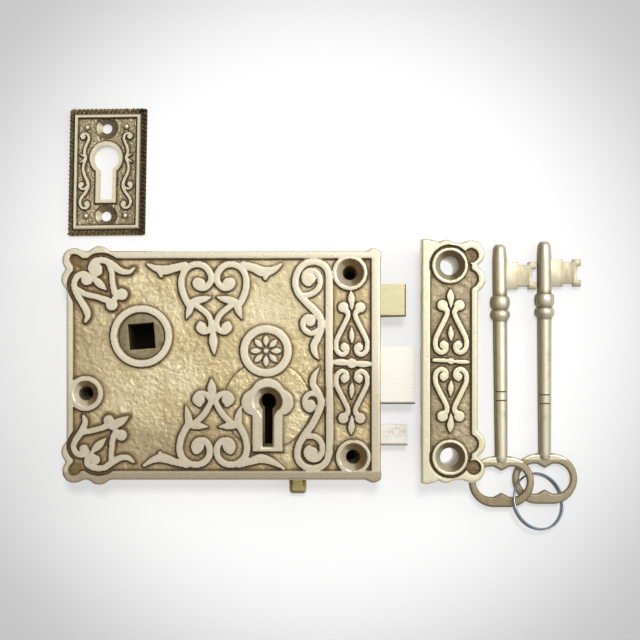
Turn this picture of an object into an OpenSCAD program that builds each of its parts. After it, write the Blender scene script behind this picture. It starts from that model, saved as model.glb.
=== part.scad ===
// Rim box lock set laid flat with the backs down: the cast lock case with its latch, dead bolt
// and snib, the keep that takes the bolts, a keyhole escutcheon and two keys on a split ring.
// The origin is the centre of the case's back. X runs towards the bolts, Y up the door, Z to the front.

/* [Case] */
// Length of the case along the bolts, corner ears left out
case_l = 100.6; // [100:0.1:130]
// Height of the case, corner ears left out
case_h = 73.2; // [73:0.1:95]
// Depth of the case from the door to the front of the rim
case_d = 20; // [19:0.5:26]
// Thickness of the side walls
wall = 2; // [1.6:0.1:2.6]
// Thickness of the edge that the bolts pass through
forend_t = 3; // [2.4:0.1:4]
// Thickness of the ornamented front panel
panel_t = 1.8; // [1.2:0.1:2.4]
// Height of the rim, rings and bosses over the panel
relief_h = 1.2; // [0.8:0.1:1.6]
// Width of the raised rim
rim_w = 2.2; // [1.4:0.1:3]
// Radius of each lobe of the corner ears
ear_r = 3.9; // [3:0.1:5]
// Thickness of the corner ears, behind the front of the rim
ear_t = 5; // [3:0.5:8]
// Thickness of the plate that closes the back
plate_t = 1.5; // [1:0.1:2]

/* [Fixing screws] */
// Radius of the fixing screw holes
screw_hole_r = 2.3; // [1.8:0.05:2.4]
// Radius of each countersink at the front
countersink_r = 4.5; // [3.5:0.1:5]
// Radius of the raised ring round each countersink
boss_r = 5.6; // [5:0.1:6.5]
// Wall of the pillar that each screw passes through
pillar_wall = 0.7; // [0.5:0.05:0.9]
// Distance of the two right holes from the bolt edge
right_screw_inset = 9.25; // [8:0.05:10]
// Distance of the two right holes from the top and bottom
edge_screw_inset = 6.95; // [6:0.05:7.2]
// Distance of the left hole from the left side
left_screw_inset = 6; // [5.5:0.1:8]
// Height of the left hole over the middle
left_screw_y = -8.9; // [-12:0.1:0]

/* [Back plate screws] */
// Radius of the four small screws
plate_screw_r = 1.2; // [0.8:0.05:1.5]
// Length of the four small screws
plate_screw_l = 8; // [5:0.5:12]
// Wall of the bosses that take the small screws
plate_boss_wall = 1.1; // [0.8:0.1:1.5]
// Distance of the small screws from the inside corners
plate_screw_inset = 3.9; // [3.2:0.1:5]

/* [Follower] */
// Width of the square spindle hole
spindle = 8.3; // [7:0.1:10]
// Turn of the spindle hole as the follower rests
spindle_skew = 4.5; // [0:0.5:10]
// Wall of the hub at the corners of the square
hub_wall = 1.33; // [1:0.01:2]
// Distance of the spindle from the bolt edge
follower_backset = 76.6; // [70:0.1:78]
// Height of the spindle over the middle
follower_y = 9.4; // [8:0.1:10]
// Turn that draws the latch fully back
follower_swing = 42; // [30:1:50]
// Radius of the rounded end of the follower's arm
arm_tip_r = 2; // [1.5:0.1:2.5]
// Width of the raised ring round the follower
follower_ring_w = 2.65; // [2:0.05:4]

/* [Latch] */
// Height of the latch over the middle
latch_y = 21.1; // [20:0.1:21.1]
// Height of the latch head
latch_h = 10.4; // [8:0.1:10.4]
// Thickness of the latch head
latch_t = 10; // [7:0.5:12]
// Travel of the latch, and how far it stands out
latch_travel = 8.5; // [6:0.1:10.5]
// Rest length of the latch spring
latch_spring_l = 26; // [22:0.5:30]
// Curls of the latch spring
latch_spring_curls = 9; // [6:1:12]

/* [Dead bolt] */
// Height of the dead bolt over the middle
dead_y = -3.25; // [-4:0.05:-3]
// Height of the dead bolt head
dead_h = 18.5; // [15:0.1:22.5]
// Thickness of the dead bolt head
dead_t = 9; // [6:0.5:11]
// Travel of the dead bolt, and how far it stands out
dead_travel = 11.5; // [8:0.1:12]

/* [Snib] */
// Height of the snib over the middle
snib_y = -22.85; // [-22.9:0.05:-22]
// Height of the snib head
snib_h = 6.9; // [5:0.1:6.9]
// Thickness of the snib head
snib_t = 7; // [5:0.5:9]
// Travel of the snib, and how far it stands out
snib_travel = 9.4; // [7:0.1:9.5]
// Width of the snib's thumb knob
knob_w = 5.7; // [5:0.1:8]
// Distance of the thumb knob from the bolt edge
knob_backset = 26.55; // [26:0.05:28]
// Height of the thumb knob under the case
knob_h = 5.3; // [4:0.1:8]

/* [Keys] */
// Distance of the keyhole from the bolt edge
key_backset = 35.9; // [35:0.1:38]
// Height of the keyhole's round part over the middle
key_y = -11.6; // [-12:0.1:-11]
// Length of a key from the tip to the foot of the bow
key_l = 87; // [80:0.5:100]
// Radius of a key's shank at the bit
key_shank_r = 2.45; // [1.8:0.05:2.5]
// Reach of a key's bit from the middle of the shank
key_reach = 12; // [10:0.1:12]
// Thickness of a key's bit
key_bit_t = 2.4; // [1.8:0.1:2.9]
// Length of a key's bit along the shank
key_bit_l = 9; // [7:0.1:10]
// Radius of a key's collars
collar_r = 3.3; // [2.8:0.1:3.3]
// Width of a key's bow
bow_w = 21.5; // [20:0.1:21.7]
// Height of a key's bow along the shank
bow_h = 16.7; // [14:0.1:17]
// Thickness of a key's bow
bow_t = 2; // [1.5:0.1:2]

/* [Split ring] */
// Outer diameter of the split ring
split_ring_d = 19.4; // [19:0.1:19.6]
// Diameter of the split ring's wire
ring_wire_d = 0.7; // [0.6:0.05:0.75]
// Turns of the split ring's wire
ring_turns = 1.75; // [1.5:0.05:1.9]

/* [Keep] */
// Width of the keep's face, ears left out
keep_w = 16.3; // [15:0.1:22]
// Width of the keep's box behind the face
keep_box_w = 14.5; // [13:0.1:14.5]
// Height of the keep
keep_h = 76; // [74:0.5:95]
// Thickness of the keep's walls
keep_wall = 1.6; // [1.2:0.1:2.2]
// Width of the sloping lip that the latch strikes
keep_lip_w = 1.8; // [1:0.1:2.2]
// Radius of the keep's screw holes
keep_hole_r = 3; // [2:0.1:3.2]
// Distance of the keep's screw holes from its top and bottom
keep_hole_inset = 7.3; // [6.5:0.1:9]

/* [Escutcheon] */
// Width of the escutcheon
plate_w = 26.6; // [22:0.1:32]
// Height of the escutcheon
plate_h = 42.6; // [40:0.1:55]
// Thickness of the escutcheon at its raised frame
plate_frame_t = 4; // [3:0.1:5]
// Radius of the round part of the escutcheon's keyhole
plate_hole_r = 4.15; // [3:0.05:5]
// Width of the slot of the escutcheon's keyhole
plate_slot_w = 4; // [3:0.1:5]
// Radius of the escutcheon's screw holes
plate_pin_r = 1.7; // [1.2:0.05:2]

/* [Clearances] */
// Gap round a bolt in its opening
slide_gap = 0.15; // [0.1:0.05:0.3]
// Gap round a shaft in its bore
run_gap = 0.05; // [0.02:0.01:0.1]
// Gap between faces that pass each other
pass_gap = 0.2; // [0.15:0.05:0.4]

/* [Hidden] */
$fn = 64;
// Extra depth of a cut past the face that it opens
past = 1;

brass = "#d8c48f";
pale_brass = "#eadfb9";
dark_brass = "#6d5a3c";
key_brass = "#d9c67c";
steel = "#aab0b8";

// Levels of the case from the back up
ground_z = case_d - relief_h;
ceiling_z = ground_z - panel_t;

// Sides of the case
forend_x = case_l / 2;
left_x = -case_l / 2;
top_y = case_h / 2;
inner_right = forend_x - forend_t;
inner_left = left_x + wall;
inner_top = top_y - wall;
forend_rim_w = forend_t + 0.3;

// Centres that the mechanism is set out from
follower_x = forend_x - follower_backset;
key_x = forend_x - key_backset;
pillar_r = screw_hole_r + pillar_wall;
right_screw_x = forend_x - right_screw_inset;
screw_spots = [[right_screw_x, top_y - edge_screw_inset],
               [right_screw_x, edge_screw_inset - top_y],
               [left_x + left_screw_inset, left_screw_y]];
plate_boss_r = plate_screw_r + plate_boss_wall;
plate_spots_y = inner_top - plate_screw_inset;
lower_plate_screw_x = key_x - 8.4;
plate_spots = [[inner_left + plate_screw_inset, plate_spots_y],
               [inner_left + plate_screw_inset, -plate_spots_y],
               [right_screw_x - 13, plate_spots_y],
               [lower_plate_screw_x, -plate_spots_y]];
plate_screw_head_r = 2 * plate_screw_r;
plate_sink_d = plate_screw_head_r - plate_screw_r + 2 * run_gap;

// Follower and the arm that draws the latch
journal_r = spindle / sqrt(2) + hub_wall;
shoulder_r = journal_r + 1;
journal_drop = 0.4;
arm_w = 3.2;
arm_z = 8;
arm_t = 4;
half_swing = follower_swing / 2;
arm_l = latch_travel / (2 * sin(half_swing));
ring_in_r = journal_r + 0.25;
ring_out_r = ring_in_r + follower_ring_w;

// Bolts: underside, tails and how far the heads reach into the case
bolt_z = 4.5;
tail_t = 3;
head_x = inner_right - 1.1;
guide_pin_r = 1.5;
guide_base_r = 2.6;
slot_half = guide_pin_r + slide_gap;

latch_tail_t = 2.5;
latch_tail_top = latch_y + 2.9;
latch_tail_low = latch_y - 4.1;
latch_arm_low = latch_tail_top - 4;
latch_pin = [forend_x - 26.3, latch_y - 0.6];
lug_x = follower_x + arm_l * sin(half_swing) - arm_tip_r - slide_gap;
lug_w = 3.5;
lug_low = follower_y + arm_l * cos(half_swing) - 0.9;
latch_bevel_run = 8;
latch_bevel_rise = latch_t * 0.66;
spring_post_x = follower_x + 8.3;
spring_post_w = 4;
spring_y = latch_tail_top + 4.2;
spring_z = 9;
spring_coil_r = 2.2;
spring_wire_r = 0.4;
spring_rod_r = 1.1;
spring_tab_w = 2.5;
spring_tab_h = 8;
spring_tab_x = spring_post_x + spring_post_w + latch_spring_l;
spigot_l = 2;

dead_top = dead_y + dead_h / 2;
dead_tail_top = dead_top - 0.5;
dead_tail_low = key_y + 10.9;
dead_pin = [forend_x - 50.3, dead_tail_top - 2.5];
dead_tail_x = dead_pin[0] - 5;
talon_w = 4;
talon_top = key_y + key_reach + 0.5;
talon_x = key_x + dead_travel / 2;
notch_d = 1.1;
nose_half = 1.4;
nose_y = slide_gap * sqrt(2) - notch_d;
dead_nose_x = forend_x - 20.3;
leaf_t = 0.6;
leaf_z = bolt_z + pass_gap;
leaf_w = tail_t - 2 * pass_gap;
dead_post = [dead_nose_x - 24, dead_tail_top + 3];

snib_z = 2.2;
snib_tail_t = 2.5;
snib_top = snib_y + snib_h / 2;
snib_low = snib_y - snib_h / 2;
snib_tail_x = forend_x - 22.8;
snib_foot_right = right_screw_x - pillar_r - 2;
snib_foot_low = snib_low - 4.7;
snib_foot_top = snib_low - 0.7;
knob_x = forend_x - knob_backset;
stem_w = 4;
knob_gap = 0.4;
stem_grip = 3;
snib_nose_x = forend_x - 16.3;
snib_post = [snib_nose_x - 10, snib_top + 2.3];
snib_leaf_w = snib_tail_t - 2 * pass_gap;
post_w = 3;
post_h = 4;

// Keyhole, its raised surround and the ward
keyhole_r = key_shank_r + 0.3;
keyhole_slot_w = key_bit_t + 0.9;
keyhole_drop = key_reach + 2.4;
keyhole_recess_r = keyhole_r + 1.85;
ward_r = 8.4;
ward_t = 1;
ward_h = 4.7;
mark_ring_y = key_y + 16.3;
mark_ring_r = 8.4;

// Key along +Y from the middle of the bow
bow_side = 2.35;
bow_end = 3.4;
cusp = 1.4;
bow_hole_w = bow_w - 2 * bow_side;
bow_hole_h = bow_h - 2 * bow_end;
key_tip = key_l - bow_h / 2;
bit_end = key_tip - 6;
bit_start = bit_end - key_bit_l;
collar_tops = [bit_start - 1.9, bit_start - 7.2];
collar_ls = [4.3, 2.6];
shank_bow_r = key_shank_r - 0.3;

// Where the loose pieces lie
keep_x = forend_x + 14.7;
keep_y = 1.3;
keep_hole_x = keep_x + 7.4;
keep_hole_y = keep_h / 2 - keep_hole_inset;
keep_spots = [[keep_hole_x, keep_y + keep_hole_y], [keep_hole_x, keep_y - keep_hole_y]];
keep_boss_r = keep_hole_r + 2.7;
keep_sink_r = keep_hole_r + 1.3;
keep_pillar_r = keep_hole_r + 0.9;
keep_mouth_gap = 1;
keep_lip_t = 4.5;
keep_lip_over = 1.2;
plate_centre = [left_x + 10.6, top_y + 6.5 + plate_h / 2];
plate_turn = -0.2;
key_left_x = keep_x + keep_w + 9.45;
key_left_place = [key_left_x, keep_y - 39.6, 6.6];
key_left_pitch = -3;
key_right_place = [key_left_x + 14.75, keep_y - 38.8, 4];
key_right_pitch = -0.6;
ring_place = [key_left_x + 12.33, keep_y - 46.18, 5.51];
ring_tilt = 28.5;
ring_tilt_side = 35.5;
ring_pitch = ring_wire_d + 0.43;
ring_coil_r = (split_ring_d - ring_wire_d) / 2;
ring_start = 155.5;

// Rings and sides of the wound tubes
ring_loop_rings = 24;
spring_curl_rings = 8;
tube_sides = 6;
ring_count = round(ring_turns * ring_loop_rings);
spring_count = latch_spring_curls * spring_curl_rings;
spring_pitch = (latch_spring_l - 2 * spring_wire_r - 2 * run_gap) / latch_spring_curls;

// Middle of a coil's wire at a share of its length
function coil_centre(radius, pitch, turns, share) =
    [radius * cos(360 * turns * share), radius * sin(360 * turns * share), pitch * turns * share];

function coil_centres(radius, pitch, turns, rings) =
    [for (i = [0 : rings]) coil_centre(radius, pitch, turns, i / rings)];

// Skin of a coil: one ring of points round each middle
function coil_skin(radius, wire_r, pitch, turns, rings) =
    [for (i = [0 : rings], j = [0 : tube_sides - 1])
        let (side = 360 * j / tube_sides)
        coil_centre(radius + wire_r * cos(side), pitch, turns, i / rings) + [0, 0, wire_r * sin(side)]];

function tube_point(i, j) = i * tube_sides + j % tube_sides;

function tube_faces(rings) = concat(
    [for (i = [0 : rings - 1], j = [0 : tube_sides - 1])
        [tube_point(i, j), tube_point(i, j + 1), tube_point(i + 1, j + 1)]],
    [for (i = [0 : rings - 1], j = [0 : tube_sides - 1])
        [tube_point(i, j), tube_point(i + 1, j + 1), tube_point(i + 1, j)]],
    [for (j = [1 : tube_sides - 2]) [tube_point(0, 0), tube_point(0, j + 1), tube_point(0, j)]],
    [for (j = [1 : tube_sides - 2]) [tube_point(rings, 0), tube_point(rings, j), tube_point(rings, j + 1)]]);

// Least gap between wires of a coil that are at least half a turn apart
function coil_gap(centres, half_turn, wire_d) =
    min([for (i = [0 : len(centres) - 1], j = [i + half_turn : 1 : len(centres) - 1])
        norm(centres[i] - centres[j])]) - wire_d;

echo(split_ring_least_gap = coil_gap(coil_centres(ring_coil_r, ring_pitch, ring_turns, ring_count),
                                     ring_loop_rings / 2, ring_wire_d));
echo(latch_spring_least_gap = coil_gap(coil_centres(spring_coil_r, spring_pitch, latch_spring_curls,
                                                    spring_count),
                                       spring_curl_rings / 2, 2 * spring_wire_r));

// Box between two corners
module box(low, high) {
    translate(low) cube(high - low);
}

// Upright cylinder at a spot between two levels
module post(spot, z0, z1, radius) {
    translate([spot[0], spot[1], z0]) cylinder(h = z1 - z0, r = radius);
}

// Countersink that opens to its full radius at the top level
module countersink(spot, z_top, hole_r, sink_r) {
    depth = sink_r - hole_r;
    translate([spot[0], spot[1], z_top - depth]) cylinder(h = depth, r1 = hole_r, r2 = sink_r);
    post(spot, z_top, z_top + past, sink_r);
}

// Lobes that stand round a corner, given as steps inwards from it
module corner_lobes(corner, inwards, steps, radius) {
    for (step = steps) {
        translate([corner[0] + inwards[0] * step[0], corner[1] + inwards[1] * step[1]]) circle(r = radius);
    }
}

// Raised ring on the panel
module raised_ring(spot, out_r, in_r) {
    difference() {
        post(spot, ceiling_z, case_d, out_r);
        post(spot, ceiling_z - past, case_d + past, in_r);
    }
}

// Outline of a keyhole from the middle of its round part
module keyhole_outline(radius, slot_w, drop) {
    circle(r = radius);
    translate([-slot_w / 2, -drop]) square([slot_w, drop]);
}

// Clover-shaped raised surround of the case's keyhole
module surround_outline() {
    translate([0, 2.2]) circle(r = 5.6);
    for (side = [-1, 1]) {
        translate([4.2 * side, -0.2]) circle(r = 4.4);
    }
    translate([-5.1, -keyhole_drop - 1.8]) square([10.2, keyhole_drop + 1.8]);
}

module case_ears() {
    for (side = [-1, 1]) {
        corner_lobes([left_x, side * top_y], [1, -side], [[2.5, 2.9], [10.5, 2.3], [2.2, 9]], ear_r);
        corner_lobes([forend_x, side * top_y], [-1, -side], [[2.4, 1.4]], 2.4);
    }
}

// Opening in the bolt edge for one bolt
module bolt_opening(y, h, z, t) {
    box([inner_right - past, y - h / 2 - slide_gap, z - slide_gap],
        [forend_x + past, y + h / 2 + slide_gap, z + t + slide_gap]);
}

module case_shell() {
    difference() {
        union() {
            box([left_x, -top_y, 0], [forend_x, top_y, ground_z]);
            translate([0, 0, case_d - ear_t]) linear_extrude(ear_t - relief_h) case_ears();
            difference() {
                union() {
                    box([left_x, -top_y, ground_z], [forend_x, top_y, case_d]);
                    translate([0, 0, ground_z]) linear_extrude(relief_h) case_ears();
                }
                box([left_x + rim_w, rim_w - top_y, ground_z],
                    [forend_x - forend_rim_w, top_y - rim_w, case_d + past]);
            }
        }
        box([inner_left, -inner_top, -past], [inner_right, inner_top, ceiling_z]);
    }
}

// Raised bars that part the front into panels
module front_bars() {
    bar_x = forend_x - forend_rim_w - 14.6;
    bar_w = 2.4;
    box([bar_x, -top_y + rim_w, ceiling_z], [bar_x + bar_w, top_y - rim_w, case_d]);
    box([bar_x, -0.2, ceiling_z], [forend_x - forend_rim_w, 1.7, case_d]);
}

module case() {
    color(brass) difference() {
        union() {
            case_shell();
            front_bars();
            raised_ring([follower_x, follower_y], ring_out_r, ring_in_r);
            raised_ring([key_x, mark_ring_y], mark_ring_r, mark_ring_r - 2.4);
            translate([key_x, key_y, ceiling_z]) linear_extrude(case_d - ceiling_z) surround_outline();
            for (spot = screw_spots) {
                post(spot, ceiling_z, case_d, boss_r);
                post(spot, plate_t, ceiling_z + panel_t / 2, pillar_r);
            }
            for (spot = plate_spots) {
                post(spot, plate_t, ceiling_z + panel_t / 2, plate_boss_r);
            }
        }
        for (spot = screw_spots) {
            post(spot, -past, case_d, screw_hole_r);
            countersink(spot, case_d, screw_hole_r, countersink_r);
        }
        for (spot = plate_spots) {
            post(spot, plate_t - past, plate_screw_l + past, plate_screw_r + run_gap);
        }
        post([follower_x, follower_y], ceiling_z - past, case_d, journal_r + run_gap);
        translate([key_x, key_y, ceiling_z - past])
            linear_extrude(case_d - ceiling_z + 2 * past)
                keyhole_outline(keyhole_r, keyhole_slot_w, keyhole_drop);
        countersink([key_x, key_y], case_d, keyhole_r, keyhole_recess_r);
        bolt_opening(latch_y, latch_h, bolt_z, latch_t);
        bolt_opening(dead_y, dead_h, bolt_z, dead_t);
        bolt_opening(snib_y, snib_h, snib_z, snib_t);
        box([knob_x - stem_w / 2 - snib_travel - pass_gap, -top_y - past, snib_z - pass_gap],
            [knob_x + stem_w / 2 + pass_gap, -inner_top + past, snib_z + snib_tail_t + pass_gap]);
    }
}

module back_plate() {
    color(brass) difference() {
        box([inner_left + slide_gap, -inner_top + slide_gap, 0],
            [inner_right - slide_gap, inner_top - slide_gap, plate_t]);
        for (spot = screw_spots) {
            post(spot, -past, plate_t + past, screw_hole_r);
        }
        for (spot = plate_spots) {
            post(spot, -past, plate_t + past, plate_screw_r + run_gap);
            translate([spot[0], spot[1], -past])
                cylinder(h = plate_sink_d + past, r1 = plate_screw_r + run_gap + plate_sink_d + past,
                         r2 = plate_screw_r + run_gap);
        }
        post([follower_x, follower_y], -past, plate_t + past, journal_r + run_gap);
        translate([key_x, key_y, -past])
            linear_extrude(plate_t + 2 * past) keyhole_outline(keyhole_r, keyhole_slot_w, keyhole_drop);
    }
}

module back_plate_screws() {
    color(steel) for (spot = plate_spots) {
        difference() {
            translate([spot[0], spot[1], run_gap]) union() {
                cylinder(h = plate_screw_r, r1 = plate_screw_head_r, r2 = plate_screw_r);
                cylinder(h = plate_screw_l - run_gap, r = plate_screw_r);
            }
            box([spot[0] - plate_screw_head_r, spot[1] - 0.3, 0],
                [spot[0] + plate_screw_head_r, spot[1] + 0.3, 0.6]);
        }
    }
}

module ward_ring() {
    color(brass) translate([key_x, key_y, plate_t]) difference() {
        cylinder(h = ward_h, r = ward_r);
        translate([0, 0, -past]) cylinder(h = ward_h + 2 * past, r = ward_r - ward_t);
        box([-keyhole_slot_w, -ward_r - past, -past], [keyhole_slot_w, 0, ward_h + past]);
    }
}

module follower() {
    color(dark_brass) translate([follower_x, follower_y, 0]) difference() {
        union() {
            translate([0, 0, pass_gap]) cylinder(h = ground_z - journal_drop - pass_gap, r = journal_r);
            translate([0, 0, plate_t + pass_gap])
                cylinder(h = ceiling_z - plate_t - 2 * pass_gap, r = shoulder_r);
            rotate([0, 0, -half_swing]) translate([0, 0, arm_z]) {
                box([-arm_w / 2, 0, 0], [arm_w / 2, arm_l, arm_t]);
                translate([0, arm_l, 0]) cylinder(h = arm_t, r = arm_tip_r);
            }
        }
        rotate([0, 0, spindle_skew])
            box([-spindle / 2, -spindle / 2, -past], [spindle / 2, spindle / 2, case_d]);
    }
}

// Side view of the latch head, bevelled on the side that meets the keep
module latch_head_profile() {
    tip = forend_x + latch_travel;
    polygon([[head_x, bolt_z],
             [tip - latch_bevel_run, bolt_z],
             [tip, bolt_z + latch_bevel_rise],
             [tip, bolt_z + latch_t],
             [head_x, bolt_z + latch_t]]);
}

module latch_bolt() {
    tail_top_z = bolt_z + latch_tail_t;
    color(pale_brass) difference() {
        union() {
            translate([0, latch_y + latch_h / 2, 0]) rotate([90, 0, 0])
                linear_extrude(latch_h) latch_head_profile();
            box([follower_x + 14, latch_tail_low, bolt_z], [head_x + past, latch_tail_top, tail_top_z]);
            box([lug_x - lug_w, latch_arm_low, bolt_z],
                [follower_x + 14 + past, latch_tail_top, tail_top_z]);
            box([lug_x - lug_w, lug_low, bolt_z], [lug_x, latch_tail_top, arm_z + arm_t]);
            box([spring_tab_x, latch_tail_low, bolt_z],
                [spring_tab_x + spring_tab_w, latch_tail_top + spring_tab_h, spring_z + 4]);
            translate([spring_tab_x - spigot_l, spring_y, spring_z]) rotate([0, 90, 0])
                cylinder(h = spigot_l + spring_tab_w / 2, r = spring_rod_r);
        }
        box([latch_pin[0] - slot_half, latch_pin[1] - slot_half, bolt_z - past],
            [latch_pin[0] + latch_travel + slot_half, latch_pin[1] + slot_half, tail_top_z + past]);
    }
}

module latch_spring() {
    color(steel)
        translate([spring_tab_x - spring_wire_r - run_gap, spring_y, spring_z]) rotate([0, -90, 0])
            polyhedron(coil_skin(spring_coil_r, spring_wire_r, spring_pitch, latch_spring_curls,
                                 spring_count),
                       tube_faces(spring_count));
}

module latch_spring_post() {
    color(brass) {
        box([spring_post_x, spring_y - 2.5, plate_t],
            [spring_post_x + spring_post_w, spring_y + 2.5, spring_z + 3]);
        translate([spring_post_x + spring_post_w / 2, spring_y, spring_z]) rotate([0, 90, 0])
            cylinder(h = spring_post_w / 2 + latch_spring_l - latch_travel - spigot_l - 3,
                     r = spring_rod_r);
    }
}

// Shouldered pin on the back plate that a slotted tail slides along
module guide_pin(spot, tail_z, tail_thickness) {
    post(spot, plate_t, tail_z - pass_gap, guide_base_r);
    post(spot, plate_t, tail_z + tail_thickness + 1, guide_pin_r);
}

module latch_guide_pin() {
    color(brass) guide_pin(latch_pin, bolt_z, latch_tail_t);
}

// Notch in a tail's edge that the nose of a leaf spring drops into
module nose_notch(x, y, z0, z1) {
    mouth = notch_d + past;
    translate([x, y, z0]) linear_extrude(z1 - z0) polygon([[0, -notch_d], [mouth, past], [-mouth, past]]);
}

module dead_bolt() {
    tail_top_z = bolt_z + tail_t;
    color(pale_brass) difference() {
        union() {
            box([head_x, dead_y - dead_h / 2, bolt_z], [forend_x + dead_travel, dead_top, bolt_z + dead_t]);
            box([dead_tail_x, dead_tail_low, bolt_z], [head_x + past, dead_tail_top, tail_top_z]);
        }
        box([talon_x - talon_w / 2, dead_tail_low - past, bolt_z - past],
            [talon_x + talon_w / 2, talon_top, tail_top_z + past]);
        box([dead_pin[0] - slot_half, dead_pin[1] - slot_half, bolt_z - past],
            [dead_pin[0] + dead_travel + slot_half, dead_pin[1] + slot_half, tail_top_z + past]);
        for (step = [0, dead_travel]) {
            nose_notch(dead_nose_x + step, dead_tail_top, bolt_z - past, tail_top_z + past);
        }
    }
}

module dead_bolt_guide_pin() {
    color(brass) guide_pin(dead_pin, bolt_z, tail_t);
}

// Leaf from its foot at the left to a bent nose at the right, resting on a bolt's upper edge
module leaf_outline(run, foot_y) {
    shoulder_y = nose_y + nose_half;
    edge = [[0, foot_y],
            [run - 2 * nose_half, shoulder_y + 0.3],
            [run - nose_half, shoulder_y],
            [run, nose_y],
            [run + nose_half, shoulder_y],
            [run + 2 * nose_half, shoulder_y + 0.7]];
    top = [for (i = [len(edge) - 1 : -1 : 0]) edge[i] + [0, leaf_t]];
    polygon(concat(edge, top));
}

// Leaf spring with its foot against a post, bearing on a bolt's edge
module leaf_spring(post_spot, nose_x, edge_y, z, width) {
    foot_x = post_spot[0] + post_w / 2;
    translate([foot_x, edge_y, z]) linear_extrude(width)
        leaf_outline(nose_x - foot_x, post_spot[1] - edge_y);
}

// Square post that carries the foot of a leaf spring
module leaf_post(spot, z_top) {
    box([spot[0] - post_w / 2, spot[1] - post_h / 2, plate_t],
        [spot[0] + post_w / 2, spot[1] + post_h / 2, z_top]);
}

module dead_bolt_spring() {
    color(steel) leaf_spring(dead_post, dead_nose_x, dead_tail_top, leaf_z, leaf_w);
}

module dead_bolt_spring_post() {
    color(brass) leaf_post(dead_post, bolt_z + tail_t);
}

module snib_bolt() {
    tail_top_z = snib_z + snib_tail_t;
    color(pale_brass) difference() {
        union() {
            box([head_x, snib_low, snib_z], [forend_x + snib_travel, snib_top, snib_z + snib_t]);
            box([snib_tail_x, snib_low, snib_z], [head_x + past, snib_top, tail_top_z]);
            box([snib_tail_x, snib_foot_low, snib_z], [snib_foot_right, snib_top, tail_top_z]);
            box([knob_x - stem_w / 2, snib_foot_low, snib_z], [snib_foot_right, snib_foot_top, tail_top_z]);
            box([knob_x - stem_w / 2, -top_y - knob_gap - stem_grip, snib_z],
                [knob_x + stem_w / 2, snib_foot_top, tail_top_z]);
        }
        for (step = [0, snib_travel]) {
            nose_notch(snib_nose_x + step, snib_top, snib_z - past, tail_top_z + past);
        }
    }
}

module snib_knob() {
    knob_top = -top_y - knob_gap;
    mid_z = snib_z + snib_tail_t / 2;
    color(brass) difference() {
        box([knob_x - knob_w / 2, knob_top - knob_h, mid_z - knob_w / 2 + 0.6],
            [knob_x + knob_w / 2, knob_top, mid_z + knob_w / 2]);
        box([knob_x - stem_w / 2 - run_gap, knob_top - stem_grip - run_gap, snib_z - run_gap],
            [knob_x + stem_w / 2 + run_gap, knob_top + past, snib_z + snib_tail_t + run_gap]);
    }
}

module snib_spring() {
    color(steel) leaf_spring(snib_post, snib_nose_x, snib_top, snib_z + pass_gap, snib_leaf_w);
}

module snib_spring_post() {
    color(brass) leaf_post(snib_post, snib_z + snib_tail_t);
}

// Outline of the keep's face with its corner lobes
module keep_face_outline() {
    keep_right = keep_x + keep_w;
    translate([keep_x, keep_y - keep_h / 2]) square([keep_w, keep_h]);
    for (side = [-1, 1]) {
        corner_y = keep_y + side * keep_h / 2;
        corner_lobes([keep_right, corner_y], [-1, -side], [[2, 3.9], [1.7, 11.7]], ear_r + 0.3);
        corner_lobes([keep_x, corner_y], [1, -side], [[1.8, 1.1]], 1.8);
    }
}

// Sloping lip along the keep's near edge
module keep_lip() {
    reach = keep_h + 2 * keep_lip_over;
    translate([0, keep_y + reach / 2, 0]) rotate([90, 0, 0]) linear_extrude(reach)
        polygon([[keep_x, case_d],
                 [keep_x - keep_lip_w, case_d - keep_lip_w],
                 [keep_x - keep_lip_w, case_d - keep_lip_t],
                 [keep_x + keep_wall / 2, case_d - keep_lip_t],
                 [keep_x + keep_wall / 2, case_d]]);
}

// Opening in the keep's near wall for bolts between two heights
module keep_mouth(low, high) {
    box([keep_x - past, low - keep_mouth_gap, -past],
        [keep_x + keep_wall + past, high + keep_mouth_gap, case_d - keep_lip_t]);
}

module keep() {
    half = keep_h / 2;
    color(brass) difference() {
        union() {
            difference() {
                union() {
                    box([keep_x, keep_y - half, 0], [keep_x + keep_box_w, keep_y + half, case_d - ear_t]);
                    translate([0, 0, case_d - ear_t]) linear_extrude(ear_t) keep_face_outline();
                }
                box([keep_x + rim_w / 2, keep_y - half + rim_w, ground_z],
                    [keep_x + keep_w - rim_w, keep_y + half - rim_w, case_d + past]);
                box([keep_x + keep_wall, keep_y - half + keep_wall, -past],
                    [keep_x + keep_box_w - keep_wall, keep_y + half - keep_wall, ceiling_z]);
            }
            keep_lip();
            for (spot = keep_spots) {
                post(spot, ceiling_z, case_d, keep_boss_r);
                post(spot, 0, ceiling_z + panel_t / 2, keep_pillar_r);
            }
        }
        for (spot = keep_spots) {
            post(spot, -past, case_d, keep_hole_r);
            countersink(spot, case_d, keep_hole_r, keep_sink_r);
        }
        keep_mouth(dead_y - dead_h / 2, latch_y + latch_h / 2);
        keep_mouth(snib_low, snib_top);
    }
}

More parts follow.
